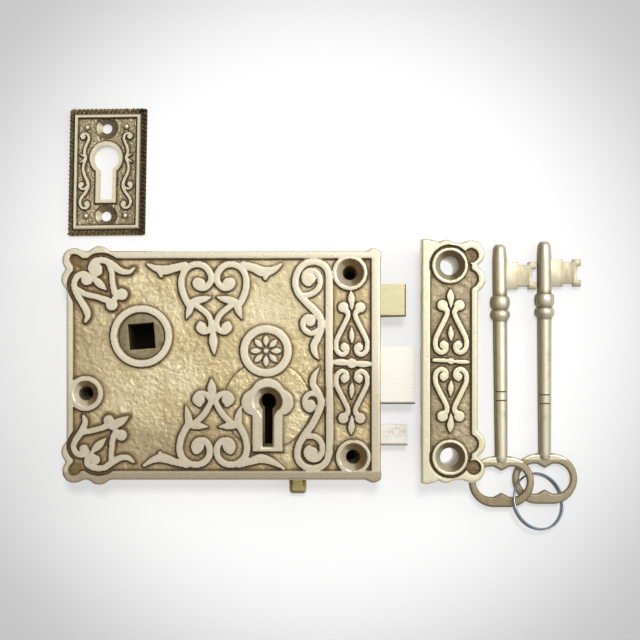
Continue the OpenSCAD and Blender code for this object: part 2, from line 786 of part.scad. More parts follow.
module escutcheon() {
    border = 2.1;
    frame_w = 1.6;
    inset = border + frame_w;
    panel_z = plate_frame_t - relief_h;
    hole_y = 4.7;
    slot_drop = 14;
    pin_ys = [14.3, -14.5];
    color(dark_brass) translate([plate_centre[0], plate_centre[1], 0]) rotate([0, 0, plate_turn])
        difference() {
            union() {
                difference() {
                    union() {
                        box([-plate_w / 2, -plate_h / 2, 0], [plate_w / 2, plate_h / 2, plate_frame_t / 2]);
                        box([border - plate_w / 2, border - plate_h / 2, 0],
                            [plate_w / 2 - border, plate_h / 2 - border, plate_frame_t]);
                    }
                    box([inset - plate_w / 2, inset - plate_h / 2, panel_z],
                        [plate_w / 2 - inset, plate_h / 2 - inset, plate_frame_t + past]);
                }
                translate([0, hole_y, 0]) linear_extrude(plate_frame_t)
                    keyhole_outline(plate_hole_r + 1.6, plate_slot_w + 3, slot_drop + 1.2);
            }
            translate([0, hole_y, -past]) linear_extrude(plate_frame_t + 2 * past)
                keyhole_outline(plate_hole_r, plate_slot_w, slot_drop);
            for (y = pin_ys) {
                post([0, y], -past, plate_frame_t, plate_pin_r);
                countersink([0, y], panel_z, plate_pin_r, plate_pin_r + 1.2);
            }
        }
}

// Oval with round ends, used for the bow and its hole
module oval(width, height) {
    for (side = [-1, 1]) {
        translate([side * (width - height) / 2, 0]) circle(d = height);
    }
    square([width - height, height], center = true);
}

module bow_outline() {
    difference() {
        oval(bow_w, bow_h);
        oval(bow_hole_w, bow_hole_h);
    }
    for (side = [-1, 1]) {
        polygon([[-2.4, side * (bow_hole_h / 2 + 0.5)],
                 [2.4, side * (bow_hole_h / 2 + 0.5)],
                 [0, side * (bow_hole_h / 2 - cusp)]]);
    }
}

// Notched bit, seen along the key's thickness
module bit_outline() {
    prong = 1.4;
    prong_l = 2.2;
    notch_x = key_reach * 0.5;
    notch_w = 3.3;
    difference() {
        translate([0, bit_start]) square([key_reach, key_bit_l]);
        translate([key_reach - prong, bit_start + prong_l])
            square([prong + past, key_bit_l - 2 * prong_l]);
        for (y = [bit_start - past, bit_end - 1]) {
            translate([notch_x, y]) square([notch_w, 1 + past]);
        }
    }
}

// One cast key along +Y from the middle of its bow
module key_body() {
    shank_end = bow_h / 2 - bow_end / 2;
    translate([0, 0, -bow_t / 2]) linear_extrude(bow_t) bow_outline();
    translate([0, 0, -key_bit_t / 2]) linear_extrude(key_bit_t) bit_outline();
    rotate([-90, 0, 0]) {
        translate([0, 0, shank_end])
            cylinder(h = collar_tops[1] - shank_end, r1 = shank_bow_r, r2 = key_shank_r);
        translate([0, 0, collar_tops[1] - past])
            cylinder(h = key_tip - collar_tops[1] + past - 1.2, r = key_shank_r);
        translate([0, 0, key_tip - 1.2]) cylinder(h = 1.2, r1 = key_shank_r, r2 = key_shank_r - 0.9);
        for (i = [0, 1]) {
            translate([0, 0, collar_tops[i] - collar_ls[i]]) rotate_extrude()
                polygon([[0, 0], [collar_r - 0.9, 0], [collar_r, 0.9], [collar_r, collar_ls[i] - 0.9],
                         [collar_r - 0.9, collar_ls[i]], [0, collar_ls[i]]]);
        }
    }
}

module key_left() {
    color(key_brass) translate(key_left_place) rotate([key_left_pitch, 0, 0]) key_body();
}

module key_right() {
    color(key_brass) translate(key_right_place) rotate([key_right_pitch, 0, 0]) key_body();
}

module split_ring() {
    color(steel) translate(ring_place)
        rotate([0, 0, ring_tilt_side]) rotate([0, ring_tilt, 0]) rotate([0, 0, ring_start])
            translate([0, 0, -ring_pitch * ring_turns / 2])
                polyhedron(coil_skin(ring_coil_r, ring_wire_d / 2, ring_pitch, ring_turns, ring_count),
                           tube_faces(ring_count));
}

case();
back_plate();
back_plate_screws();
ward_ring();
follower();
latch_bolt();
latch_spring();
latch_spring_post();
latch_guide_pin();
dead_bolt();
dead_bolt_guide_pin();
dead_bolt_spring();
dead_bolt_spring_post();
snib_bolt();
snib_knob();
snib_spring();
snib_spring_post();
keep();
escutcheon();
key_left();
key_right();
split_ring();
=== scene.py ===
"""Looks of a cast brass rim lock set: lock, keep, escutcheon and two keys on a ring."""
import logging
import math
from dataclasses import dataclass, field
from enum import Enum
from typing import Callable, Sequence, Union

import bmesh
import bpy
import numpy as np
from mathutils import Matrix, Vector


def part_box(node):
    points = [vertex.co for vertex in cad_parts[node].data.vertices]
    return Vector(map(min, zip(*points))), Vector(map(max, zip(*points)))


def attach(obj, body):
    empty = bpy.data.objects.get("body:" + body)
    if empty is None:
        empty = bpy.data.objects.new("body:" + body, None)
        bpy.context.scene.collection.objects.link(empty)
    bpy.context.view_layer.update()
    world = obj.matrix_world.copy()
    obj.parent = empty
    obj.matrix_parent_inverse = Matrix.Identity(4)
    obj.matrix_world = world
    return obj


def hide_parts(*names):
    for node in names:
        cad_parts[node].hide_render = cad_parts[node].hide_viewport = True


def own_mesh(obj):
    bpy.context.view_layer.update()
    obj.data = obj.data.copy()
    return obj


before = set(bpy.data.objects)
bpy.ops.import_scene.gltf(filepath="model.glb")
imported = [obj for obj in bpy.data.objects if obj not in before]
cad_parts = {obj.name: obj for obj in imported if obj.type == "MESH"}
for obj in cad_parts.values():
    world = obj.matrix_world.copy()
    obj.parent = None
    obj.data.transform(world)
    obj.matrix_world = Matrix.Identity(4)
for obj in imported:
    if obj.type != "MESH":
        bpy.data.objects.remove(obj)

LOG = logging.getLogger("rim_lock")
MM = 0.001  # metres in a millimetre
FAR = 6.0  # distance past which raised work isn't measured
TINY = 1e-6  # smallest difference that counts
LAP = 0.02  # how far a box stays inside its front
LATTICE = 64  # cells along one side of a pattern of unevenness
Array = np.ndarray
Piece = bpy.types.Object
Material = bpy.types.Material
Socket = bpy.types.NodeSocket
Spot = tuple[float, float]
Place = tuple[float, float, float]
Window = tuple[Place, Place]
Colour = tuple[float, float, float, float]
Knots = tuple[Place, ...]


class Body(Enum):
    """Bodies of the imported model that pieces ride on."""

    LOCK = "lock"
    FOLLOWER = "follower_hub"
    LATCH = "latch"
    DEAD_BOLT = "main_bolt"
    SNIB = "snib"
    KEEP = "keep_box"
    ESCUTCHEON = "keyhole_plate"
    RIGHT_KEY = "right_key"
    LEFT_KEY = "left_key"
    RING = "ring"


class Rounding(Enum):
    """Which edges of a piece are rounded."""

    EVERY = "every"
    BLOCK = "block"
    END_AND_LOWER = "end_and_lower"
    LOWER = "lower"


class Slot(Enum):
    """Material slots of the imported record."""

    CAST = "cast_brass"
    DARK = "dark_brass"
    PLAIN = "plain_brass"
    POLISHED = "polished_brass"
    STEEL = "steel"


def paint(code: str) -> Colour:
    """Turn a web colour into a linear one.

    Args:
        code: six hexadecimal digits.

    Returns:
        Linear red, green, blue and an alpha of one.
    """
    parts = [int(code[i:i + 2], 16) / 255 for i in (0, 2, 4)]
    linear = [c / 12.92 if c <= 0.04045 else ((c + 0.055) / 1.055) ** 2.4 for c in parts]
    return (linear[0], linear[1], linear[2], 1.0)


def ease(low: float, high: float, x: Array) -> Array:
    """Rise smoothly from 0 at low to 1 at high."""
    t = np.clip((x - low) / (high - low), 0.0, 1.0)
    return t * t * (3.0 - 2.0 * t)


def disc(p: Array, centre: Sequence[float], radius: float) -> Array:
    """Distance from points to a disc, negative inside."""
    return np.hypot(p[:, 0] - centre[0], p[:, 1] - centre[1]) - radius


def slab(p: Array, low: Sequence[float], high: Sequence[float], corner: float = 0.0) -> Array:
    """Distance from points to a rectangle with rounded corners.

    Args:
        p: points.
        low: lowest corner.
        high: highest corner.
        corner: corner radius.

    Returns:
        Distances, negative inside.
    """
    middle = (np.array(low, float) + np.array(high, float)) / 2
    half = (np.array(high, float) - np.array(low, float)) / 2 - corner
    q = np.abs(p - middle) - half
    outside = np.hypot(np.maximum(q[:, 0], 0), np.maximum(q[:, 1], 0))
    return outside + np.minimum(q.max(1), 0) - corner


def meld(a: Array, b: Array, soft: float) -> Array:
    """Join two shapes with a small fillet where they meet."""
    h = np.clip(0.5 + 0.5 * (b - a) / soft, 0.0, 1.0)
    return b * (1 - h) + a * h - soft * h * (1 - h)


def crinkle(p: Array, size: float, seed: int) -> Array:
    """Unevenness of cast metal, from -1 to 1.

    Args:
        p: points.
        size: size of one lump.
        seed: which unevenness to use.

    Returns:
        One value for each point.
    """
    lattice = np.random.default_rng(seed).uniform(-1.0, 1.0, (LATTICE, LATTICE))
    base = np.floor(p / size).astype(int)
    t = p / size - base
    t = t * t * (3.0 - 2.0 * t)
    rows = []
    for up in (0, 1):
        a = lattice[base[:, 0] % LATTICE, (base[:, 1] + up) % LATTICE]
        b = lattice[(base[:, 0] + 1) % LATTICE, (base[:, 1] + up) % LATTICE]
        rows.append(a + (b - a) * t[:, 0])
    return rows[0] + (rows[1] - rows[0]) * t[:, 1]


def spin(p: Array, degrees: float) -> Array:
    """Turn points about the origin."""
    c, s = math.cos(math.radians(degrees)), math.sin(math.radians(degrees))
    return p @ np.array([[c, s], [-s, c]])


@dataclass(frozen=True)
class Drawing:
    """A drawing sheet: units across and down, with its zero in the part's frame."""

    across: float
    down: float
    per_mm: float

    def place(self, knots: Array) -> Array:
        """Turn (across, down, width) rows into (x, y, radius) rows in millimetres."""
        out = np.empty_like(knots)
        out[:, 0] = (knots[:, 0] - self.across) / self.per_mm
        out[:, 1] = (self.down - knots[:, 1]) / self.per_mm
        out[:, 2] = knots[:, 2] / (2 * self.per_mm)
        return out


@dataclass(frozen=True)
class Stroke:
    """One run of raised ornament as rows of (across, down, width) in drawing units."""

    knots: Knots

    def moved(self, flip_across: float = 0.0, flip_down: float = 0.0,
              shift: Spot = (0.0, 0.0)) -> "Stroke":
        """Mirror and shift a copy.

        Args:
            flip_across: the upright line to mirror about, or 0 for none.
            flip_down: the level line to mirror about, or 0 for none.
            shift: how far to move across and down.

        Returns:
            The new stroke.
        """
        rows = []
        for u, v, w in self.knots:
            u = 2 * flip_across - u if flip_across else u
            v = 2 * flip_down - v if flip_down else v
            rows.append((u + shift[0], v + shift[1], w))
        return Stroke(tuple(rows))

    def chain(self, drawing: Drawing, steps: int = 6) -> Array:
        """Smooth the knots into a chain of discs.

        Args:
            drawing: the sheet the knots are drawn on.
            steps: pieces between two knots.

        Returns:
            Rows of x, y and radius in millimetres.
        """
        k = drawing.place(np.array(self.knots, float))
        if len(k) == 1:
            return k
        p = np.vstack([2 * k[0] - k[1], k, 2 * k[-1] - k[-2]])
        t = np.linspace(0.0, 1.0, steps, endpoint=False)[:, None]
        runs = []
        for a, b, c, d in zip(p, p[1:], p[2:], p[3:]):
            runs.append(0.5 * (2 * b + (c - a) * t + (2 * a - 5 * b + 4 * c - d) * t ** 2
                               + (3 * b - a - 3 * c + d) * t ** 3))
        runs.append(k[-1:])
        row = np.vstack(runs)
        row[:, 2] = np.maximum(row[:, 2], 0.05)
        return row


def stroke(*knots: Place) -> Stroke:
    """Make a stroke from its knots."""
    return Stroke(knots)


def ball(across: float, down: float, radius: float) -> Stroke:
    """Make a round blob."""
    return Stroke(((across, down, 2 * radius),))


class Ornament:
    """Raised strokes that are measured together."""

    MARGIN = 2.5  # how far round a stroke its distance is measured

    def __init__(self, drawing: Drawing, strokes: Sequence[Stroke], swell: float) -> None:
        """Smooth the strokes.

        Args:
            drawing: the sheet they are drawn on.
            strokes: the strokes.
            swell: how far their edges are moved out.
        """
        self.chains = [s.chain(drawing) + np.array([0.0, 0.0, swell]) for s in strokes]

    def distance(self, p: Array) -> Array:
        """Distance from points to the nearest stroke, negative inside, cut off at FAR."""
        best = np.full(len(p), FAR)
        for chain in self.chains:
            reach = chain[:, 2].max() + self.MARGIN
            low, high = chain[:, :2].min(0) - reach, chain[:, :2].max(0) + reach
            near = np.flatnonzero(((p >= low) & (p <= high)).all(1))
            if near.size:
                best[near] = np.minimum(best[near], self.chain_distance(p[near], chain))
        return best

    @staticmethod
    def chain_distance(p: Array, chain: Array) -> Array:
        """Distance from points to one chain of discs."""
        best = np.hypot(p[:, 0] - chain[0, 0], p[:, 1] - chain[0, 1]) - chain[0, 2]
        for a, b in zip(chain[:-1], chain[1:]):
            run = b[:2] - a[:2]
            size = max(float(run @ run), 1e-9)
            t = np.clip(((p - a[:2]) @ run) / size, 0.0, 1.0)
            d = np.hypot(p[:, 0] - a[0] - t * run[0], p[:, 1] - a[1] - t * run[1])
            best = np.minimum(best, d - a[2] - t * (b[2] - a[2]))
        return best


@dataclass
class Sheet:
    """A surface of faces in millimetres with its rims and painted values."""

    verts: Array
    faces: list[tuple[int, ...]]
    loops: list[Array]
    values: dict[str, Array]

    def ring(self, loop: Array, xy: Array, z: Union[float, Array]) -> Array:
        """Hang a band of faces from a rim.

        Args:
            loop: the rim's vertices in order.
            xy: the lower edge's places.
            z: the lower edge's height.

        Returns:
            The lower edge's vertices, in the same order.
        """
        start = len(self.verts)
        new = np.column_stack([xy, np.broadcast_to(z, len(xy))])
        self.verts = np.vstack([self.verts, new])
        lower = np.arange(start, start + len(loop))
        for a, b, c, d in zip(np.roll(loop, -1), loop, lower, np.roll(lower, -1)):
            self.faces.append((int(a), int(b), int(c), int(d)))
        plain = {"foot": 3.0, "relief": 0.6, "lee": 0.4}
        for name, row in self.values.items():
            self.values[name] = np.concatenate([row, np.full(len(loop), plain.get(name, 0.0))])
        return lower


class ReliefCutter:
    """Turns a height rule over a flat outline into a clean surface."""

    SNAP = 0.36  # share of a cell that a vertex may move
    STEEP = 0.4  # least squared slope at which a vertex is moved

    def __init__(self, low: Sequence[float], high: Sequence[float], cell: float,
                 domain: Callable[[Array], Array], surface: Callable[[Array], dict[str, Array]],
                 levels: Sequence[float]) -> None:
        """Set up the field.

        Args:
            low: lowest corner of the field.
            high: highest corner of the field.
            cell: size of one cell.
            domain: distance to the outline and holes, negative on the metal.
            surface: heights and painted values at points; "foot" is the distance to raised work.
            levels: the foot distances that vertices are drawn on to.
        """
        self.low, self.high, self.cell = low, high, cell
        self.domain, self.surface, self.levels = domain, surface, levels

    @staticmethod
    def slope(f: Callable[[Array], Array], p: Array) -> Array:
        """Gradient of a rule at points."""
        e = 0.02
        across = (f(p + [e, 0.0]) - f(p - [e, 0.0])) / (2 * e)
        up = (f(p + [0.0, e]) - f(p - [0.0, e])) / (2 * e)
        return np.column_stack([across, up])

    def pull(self, p: Array, f: Callable[[Array], Array], level: float, reach: float) -> Array:
        """Draw the points near a level line on to it.

        Args:
            p: points, changed in place.
            f: the rule.
            level: the value of the line.
            reach: how far a point may move.

        Returns:
            The indexes of the points that were moved.
        """
        value = f(p) - level
        near = np.flatnonzero(np.abs(value) < reach)
        if not near.size:
            return near
        g = self.slope(f, p[near])
        size = (g ** 2).sum(1)
        good = size > self.STEEP
        near, g, size = near[good], g[good], size[good]
        p[near] += -(value[near] / size)[:, None] * g
        return near

    def build(self) -> Sheet:
        """Cut the surface.

        Returns:
            The surface with its rims.
        """
        nx = math.ceil((self.high[0] - self.low[0]) / self.cell)
        ny = math.ceil((self.high[1] - self.low[1]) / self.cell)
        gx, gy = np.meshgrid(np.linspace(self.low[0], self.high[0], nx + 1),
                             np.linspace(self.low[1], self.high[1], ny + 1))
        p = np.column_stack([gx.ravel(), gy.ravel()])
        snap = self.SNAP * self.cell
        for level in self.levels:
            self.pull(p, lambda q: self.surface(q)["foot"], level, snap)
        on_edge = self.pull(p, self.domain, 0.0, snap)
        edge = self.domain(p)
        edge[on_edge] = 0.0
        edge[np.abs(edge) < TINY] = 0.0
        corner = np.arange((nx + 1) * (ny + 1)).reshape(ny + 1, nx + 1)
        quads = np.column_stack([corner[:-1, :-1].ravel(), corner[:-1, 1:].ravel(),
                                 corner[1:, 1:].ravel(), corner[1:, :-1].ravel()])
        inside = edge <= 0.0
        count = inside[quads].sum(1)
        whole = quads[count == 4]
        whole = whole[(edge[whole] < 0).any(1)]
        points, faces = [p], []
        total, crossings = len(p), {}
        for quad in quads[(count > 0) & (count < 4)]:
            if not (edge[quad] < 0).any():
                continue
            row = []
            for a, b in zip(quad, np.roll(quad, -1)):
                if inside[a]:
                    row.append(int(a))
                if edge[a] * edge[b] < 0:
                    key = (min(a, b), max(a, b))
                    if key not in crossings:
                        t = edge[a] / (edge[a] - edge[b])
                        points.append((p[a] + t * (p[b] - p[a]))[None])
                        crossings[key] = total
                        total += 1
                    row.append(crossings[key])
            if len(row) >= 3:
                faces.append(tuple(row))
        p = np.vstack(points)
        used = np.zeros(len(p), bool)
        used[whole.ravel()] = True
        for row in faces:
            used[list(row)] = True
        number = np.cumsum(used) - 1
        p = p[used]
        values = self.surface(p)
        z = values.pop("z")
        whole = number[whole]
        lean = np.abs(z[whole[:, 0]] - z[whole[:, 2]]) <= np.abs(z[whole[:, 1]] - z[whole[:, 3]])
        first = np.where(lean[:, None], whole[:, [0, 1, 2]], whole[:, [0, 1, 3]])
        second = np.where(lean[:, None], whole[:, [0, 2, 3]], whole[:, [1, 2, 3]])
        rows = [tuple(r) for r in np.vstack([first, second]).tolist()]
        rows += [tuple(int(number[i]) for i in row) for row in faces]
        return Sheet(np.column_stack([p, z]), rows, self.rims(rows), values)

    @staticmethod
    def rims(faces: Sequence[tuple[int, ...]]) -> list[Array]:
        """Chain the edges that belong to one face.

        Args:
            faces: the faces.

        Returns:
            Rims as rows of vertices, metal on the left.
        """
        edges = {(a, b) for row in faces for a, b in zip(row, row[1:] + row[:1])}
        follow = {a: b for a, b in edges if (b, a) not in edges}
        loops = []
        while follow:
            start, here = next(iter(follow.items()))
            row = [start]
            del follow[start]
            while here != start and here in follow:
                row.append(here)
                here = follow.pop(here)
            if len(row) > 3:
                loops.append(np.array(row))
        return loops


class Workshop:
    """Makes objects from meshes and sends them to their bodies."""

    @staticmethod
    def from_sheet(name: str, sheet: Sheet, sharp: float = 35.0) -> Piece:
        """Make a piece from a surface.

        Args:
            name: the piece's name.
            sheet: the surface in millimetres.
            sharp: angle in degrees past which an edge shows.

        Returns:
            The new object.
        """
        mesh = bpy.data.meshes.new(name)
        mesh.from_pydata((sheet.verts * MM).tolist(), [], sheet.faces)
        mesh.validate()
        for key, row in sheet.values.items():
            layer = mesh.attributes.new(key, "FLOAT", "POINT")
            layer.data.foreach_set("value", np.ascontiguousarray(row, np.float32))
        return Workshop.from_mesh(name, mesh, sharp)

    @staticmethod
    def from_mesh(name: str, mesh: bpy.types.Mesh, sharp: float = 35.0) -> Piece:
        """Make a piece from a mesh.

        Args:
            name: the piece's name.
            mesh: the mesh.
            sharp: angle in degrees past which an edge shows, or 0 to keep the mesh's own shading.

        Returns:
            The new object.
        """
        mesh.name = name
        if sharp:
            mesh.polygons.foreach_set("use_smooth", [len(f.vertices) < 7 for f in mesh.polygons])
            mesh.set_sharp_from_angle(angle=math.radians(sharp))
        mesh.update()
        piece = bpy.data.objects.new(name, mesh)
        bpy.context.scene.collection.objects.link(piece)
        return piece

    @staticmethod
    def softened(node: str, name: str, radius: float, which: Rounding) -> Piece:
        """Copy a CAD node and round its sharp edges.

        Args:
            node: the CAD node.
            name: the new piece's name.
            radius: rounding in millimetres.
            which: every sharp edge, the outer edges of a block below its upper end, or edges of a bolt's front face.

        Returns:
            The new object.
        """
        bm = bmesh.new()
        bm.from_mesh(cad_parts[node].data)
        bmesh.ops.remove_doubles(bm, verts=bm.verts, dist=TINY)
        bmesh.ops.dissolve_limit(bm, angle_limit=math.radians(1.0), verts=bm.verts, edges=bm.edges)
        hard, curved = [], set()
        for e in bm.edges:
            if e.is_manifold and e.calc_face_angle(0.0) > math.radians(30):
                hard.append(e)
            else:
                curved.update(e.link_faces)
        for f in bm.faces:
            f.smooth = f in curved
        spots = np.array([v.co[:] for v in bm.verts])
        ends = np.array([spots.min(axis=0), spots.max(axis=0)])
        if which is Rounding.BLOCK:
            corners = {v for v, s in zip(bm.verts, spots) if np.all(np.min(np.abs(ends - s), axis=0) < TINY)}
            hard = [e for e in hard
                    if corners.issuperset(e.verts) and min(v.co.y for v in e.verts) < ends[1, 1] - TINY]
        elif which is not Rounding.EVERY:
            tips = {v for v in bm.verts if v.co.x > ends[1, 0] - TINY}
            front, under = max(v.co.z for v in tips), min(v.co.y for v in tips)
            hard = [e for e in hard
                    if tips.intersection(e.verts) and all(abs(v.co.z - front) < TINY for v in e.verts)]
            needed = any if which is Rounding.END_AND_LOWER else all
            hard = [e for e in hard if needed(v.co.y < under + TINY for v in e.verts)]
        made = bmesh.ops.bevel(bm, geom=hard, offset=radius * MM, offset_type="OFFSET", segments=3,
                               profile=0.5, affect="EDGES", clamp_overlap=True)
        for f in made["faces"]:
            f.smooth = True
        mesh = bpy.data.meshes.new(name)
        bm.to_mesh(mesh)
        bm.free()
        return Workshop.from_mesh(name, mesh, 0.0)

    @staticmethod
    def even(piece: Piece, **values: float) -> None:
        """Give a piece the same painted values all over."""
        for key, value in values.items():
            layer = piece.data.attributes.new(key, "FLOAT", "POINT")
            layer.data.foreach_set("value", [value] * len(piece.data.vertices))

    @staticmethod
    def shade_lower_faces(piece: Piece, share: float) -> None:
        """Paint shade on the faces that look down the picture, away from the light."""
        values = np.zeros(len(piece.data.loops))
        for face in piece.data.polygons:
            if face.normal.y < -0.3:
                values[list(face.loop_indices)] = share
        piece.data.attributes.new("grime", "FLOAT", "CORNER").data.foreach_set("value", values)

    @staticmethod
    def send(piece: Piece, body: Body, slot: Slot, finish: Material,
             *nodes: str) -> None:
        """Dress a piece and put it on its body.

        Args:
            piece: the piece.
            body: the body it rides on.
            slot: not used.
            finish: the material.
            nodes: the CAD nodes it stands for.
        """
        piece.data.materials.clear()
        piece.data.materials.append(finish)
        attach(piece, body.value)
        if nodes:
            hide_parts(*nodes)
        LOG.info("%s rides on %s with %d faces", piece.name, body.value, len(piece.data.polygons))

    @staticmethod
    def dress_node(node: str, finish: Material) -> None:
        """Give a CAD node that stays on show its finish."""
        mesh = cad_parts[node].data
        mesh.materials.clear()
        mesh.materials.append(finish)
        LOG.info("%s keeps its CAD shape", node)


class Shader:
    """A material's node tree, built a node at a time."""

    def __init__(self, name: str) -> None:
        """Start an empty material."""
        self.material = bpy.data.materials.new(name)
        self.material.use_nodes = True
        self.tree = self.material.node_tree
        self.tree.nodes.clear()
        self.out = self.tree.nodes.new("ShaderNodeOutputMaterial")
        self.surface = self.tree.nodes.new("ShaderNodeBsdfPrincipled")
        self.tree.links.new(self.surface.outputs["BSDF"], self.out.inputs["Surface"])
        self.where = self.tree.nodes.new("ShaderNodeTexCoord").outputs["Object"]

    def put(self, socket: Socket, value: Union[Socket, float, Sequence[float]]) -> None:
        """Link a socket or set its constant."""
        if isinstance(value, bpy.types.NodeSocket):
            self.tree.links.new(value, socket)
        else:
            socket.default_value = value

    def set(self, name: str, value: Union[Socket, float, Sequence[float]]) -> None:
        """Set an input of the surface shader."""
        self.put(self.surface.inputs[name], value)

    def attribute(self, name: str) -> Socket:
        """Read a painted value."""
        node = self.tree.nodes.new("ShaderNodeAttribute")
        node.attribute_name = name
        return node.outputs["Fac"]

    def noise(self, scale: float, detail: float = 3.0, rough: float = 0.55,
              stretch: Sequence[float] = (1.0, 1.0, 1.0)) -> Socket:
        """Cloudy noise.

        Args:
            scale: clouds to a metre.
            detail: octaves.
            rough: how strong the small clouds are.
            stretch: scale along each axis.

        Returns:
            The noise from 0 to 1.
        """
        mapping = self.tree.nodes.new("ShaderNodeMapping")
        mapping.inputs["Scale"].default_value = stretch
        self.put(mapping.inputs["Vector"], self.where)
        node = self.tree.nodes.new("ShaderNodeTexNoise")
        self.put(node.inputs["Vector"], mapping.outputs["Vector"])
        node.inputs["Scale"].default_value = scale
        node.inputs["Detail"].default_value = detail
        node.inputs["Roughness"].default_value = rough
        return node.outputs["Fac"]

    def span(self, value: Socket, low: float, high: float, to_low: float = 0.0,
             to_high: float = 1.0) -> Socket:
        """Map a range to another, clamped and smooth.

        Args:
            value: what to map.
            low: where the range starts.
            high: where the range ends.
            to_low: result at the start.
            to_high: result at the end.

        Returns:
            The mapped value.
        """
        node = self.tree.nodes.new("ShaderNodeMapRange")
        node.interpolation_type = "SMOOTHSTEP"
        for name, number in (("From Min", low), ("From Max", high), ("To Min", to_low), ("To Max", to_high)):
            node.inputs[name].default_value = number
        self.put(node.inputs["Value"], value)
        return node.outputs["Result"]

    def sum(self, kind: str, a: Union[Socket, float], b: Union[Socket, float]) -> Socket:
        """Join two numbers with a named operation."""
        node = self.tree.nodes.new("ShaderNodeMath")
        node.operation = kind
        self.put(node.inputs[0], a)
        self.put(node.inputs[1], b)
        return node.outputs[0]

    def mix(self, share: Union[Socket, float], a: Union[Socket, Colour], b: Union[Socket, Colour]) -> Socket:
        """Mix two colours."""
        node = self.tree.nodes.new("ShaderNodeMix")
        node.data_type = "RGBA"
        self.put(node.inputs["Factor"], share)
        self.put(node.inputs[6], a)
        self.put(node.inputs[7], b)
        return node.outputs[2]

    def bump(self, height: Socket, strength: Union[Socket, float], depth: float) -> None:
        """Raise the surface by a height in millimetres at strength 1."""
        node = self.tree.nodes.new("ShaderNodeBump")
        node.inputs["Distance"].default_value = depth * MM
        self.put(node.inputs["Strength"], strength)
        self.put(node.inputs["Height"], height)
        self.put(self.surface.inputs["Normal"], node.outputs["Normal"])


@dataclass(frozen=True)
class CastFinish:
    """Aged cast metal: dull ground, rubbed tops, painted highlights and dark lines at the foot of raised work, heavier
    on the painted shadow side.
    """

    name: str
    ground: str
    ground_far: str
    top: str
    top_far: str
    line: str
    halo: str
    line_width: float = 0.62
    halo_width: float = 1.6
    halo_share: float = 0.5
    grain: float = 0.5
    speckle: float = 0.25
    speckle_scale: float = 1800.0

    def build(self) -> Material:
        """Make the material.

        Returns:
            The material.
        """
        s = Shader(self.name)
        foot, relief, lee, shade = (s.attribute(n) for n in ("foot", "relief", "lee", "shade"))
        cloud, blotch, fine = s.noise(70, 4), s.noise(520, 5, 0.62), s.noise(self.speckle_scale, 4, 0.62)
        low = s.span(relief, 0.3, 0.7, 1.0, 0.0)
        ground = s.mix(s.span(cloud, 0.38, 0.62), paint(self.ground), paint(self.ground_far))
        ground = s.mix(s.span(blotch, 0.5, 0.72, 0.0, 0.36), ground, paint(self.halo))
        ground = s.mix(s.span(fine, 0.54, 0.72, 0.0, self.speckle), ground, paint(self.top))
        ground = s.mix(s.span(fine, 0.46, 0.3, 0.0, self.speckle), ground, paint(self.line))
        ground = s.mix(shade, ground, paint(self.halo))
        top = s.mix(s.span(blotch, 0.35, 0.7), paint(self.top), paint(self.top_far))
        top = s.mix(s.span(fine, 0.5, 0.8, 0.0, 0.35), top, paint(self.ground))
        top = s.mix(s.sum("MULTIPLY", shade, 0.7), top, paint(self.halo))
        colour = s.mix(low, top, ground)
        ragged = s.sum("ADD", foot, s.span(fine, 0.3, 0.7, -0.1, 0.1))
        halo = s.sum("MULTIPLY", s.span(ragged, 0.1, self.halo_width, self.halo_share, 0.0), low)
        colour = s.mix(halo, colour, paint(self.halo))
        line = s.sum("MULTIPLY", s.span(ragged, 0.1, self.line_width, 1.0, 0.0), s.span(foot, -0.17, -0.01))
        # The dark line is heavier on the painted shadow side of raised work
        line = s.sum("MULTIPLY", line, s.span(lee, 0.2, 0.75, 0.42, 0.97))
        colour = s.mix(line, colour, paint(self.line))
        s.set("Base Color", colour)
        s.set("Metallic", s.span(line, 0.2, 0.9, 0.72, 0.15))
        s.set("Roughness", s.sum("ADD", s.span(relief, 0.2, 0.9, 0.38, 0.32), s.span(blotch, 0.3, 0.8, -0.05, 0.12)))
        height = s.sum("ADD", blotch, s.sum("MULTIPLY", fine, 0.5))
        s.bump(height, s.span(relief, 0.2, 0.8, self.grain, 0.16), 0.35)
        return s.material


@dataclass(frozen=True)
class FiledFinish:
    """Filed or polished metal with fine marks along one way, a few stains, and the dark marks and painted shade that a
    piece carries.
    """

    name: str
    pale: str
    deep: str
    stain_and_shade: str
    stretch: Place = (1.0, 12.0, 12.0)
    stain_share: float = 0.4
    metal: float = 0.85
    rough: float = 0.3
    grain: float = 0.12

    def build(self) -> Material:
        """Make the material.

        Returns:
            The material.
        """
        s = Shader(self.name)
        marks = s.noise(160, 4, 0.6, self.stretch)
        cloud, specks = s.noise(110, 3), s.noise(900, 3, 0.65)
        colour = s.mix(s.span(marks, 0.3, 0.7), paint(self.pale), paint(self.deep))
        stain_and_shade = s.sum("MULTIPLY", s.span(cloud, 0.52, 0.72, 0.0, self.stain_share), s.span(specks, 0.35, 0.65))
        # The dark marks and painted shade that a piece carries join the stains
        stain_and_shade = s.sum("MAXIMUM", stain_and_shade, s.attribute("grime"))
        s.set("Base Color", s.mix(stain_and_shade, colour, paint(self.stain_and_shade)))
        s.set("Metallic", self.metal)
        s.set("Roughness", s.sum("ADD", s.span(marks, 0.2, 0.8, self.rough - 0.06, self.rough + 0.08),
                                 s.sum("MULTIPLY", stain_and_shade, 0.3)))
        s.bump(s.sum("ADD", marks, s.sum("MULTIPLY", specks, 0.4)), self.grain, 0.15)
        return s.material


def join(tree: bpy.types.NodeTree, *rows: tuple[bpy.types.Node, str, bpy.types.Node, str]) -> None:
    """Link nodes by rows of a node, its output, the next node and its input."""
    for source, leaves, target, enters in rows:
        tree.links.new(source.outputs[leaves], target.inputs[enters])


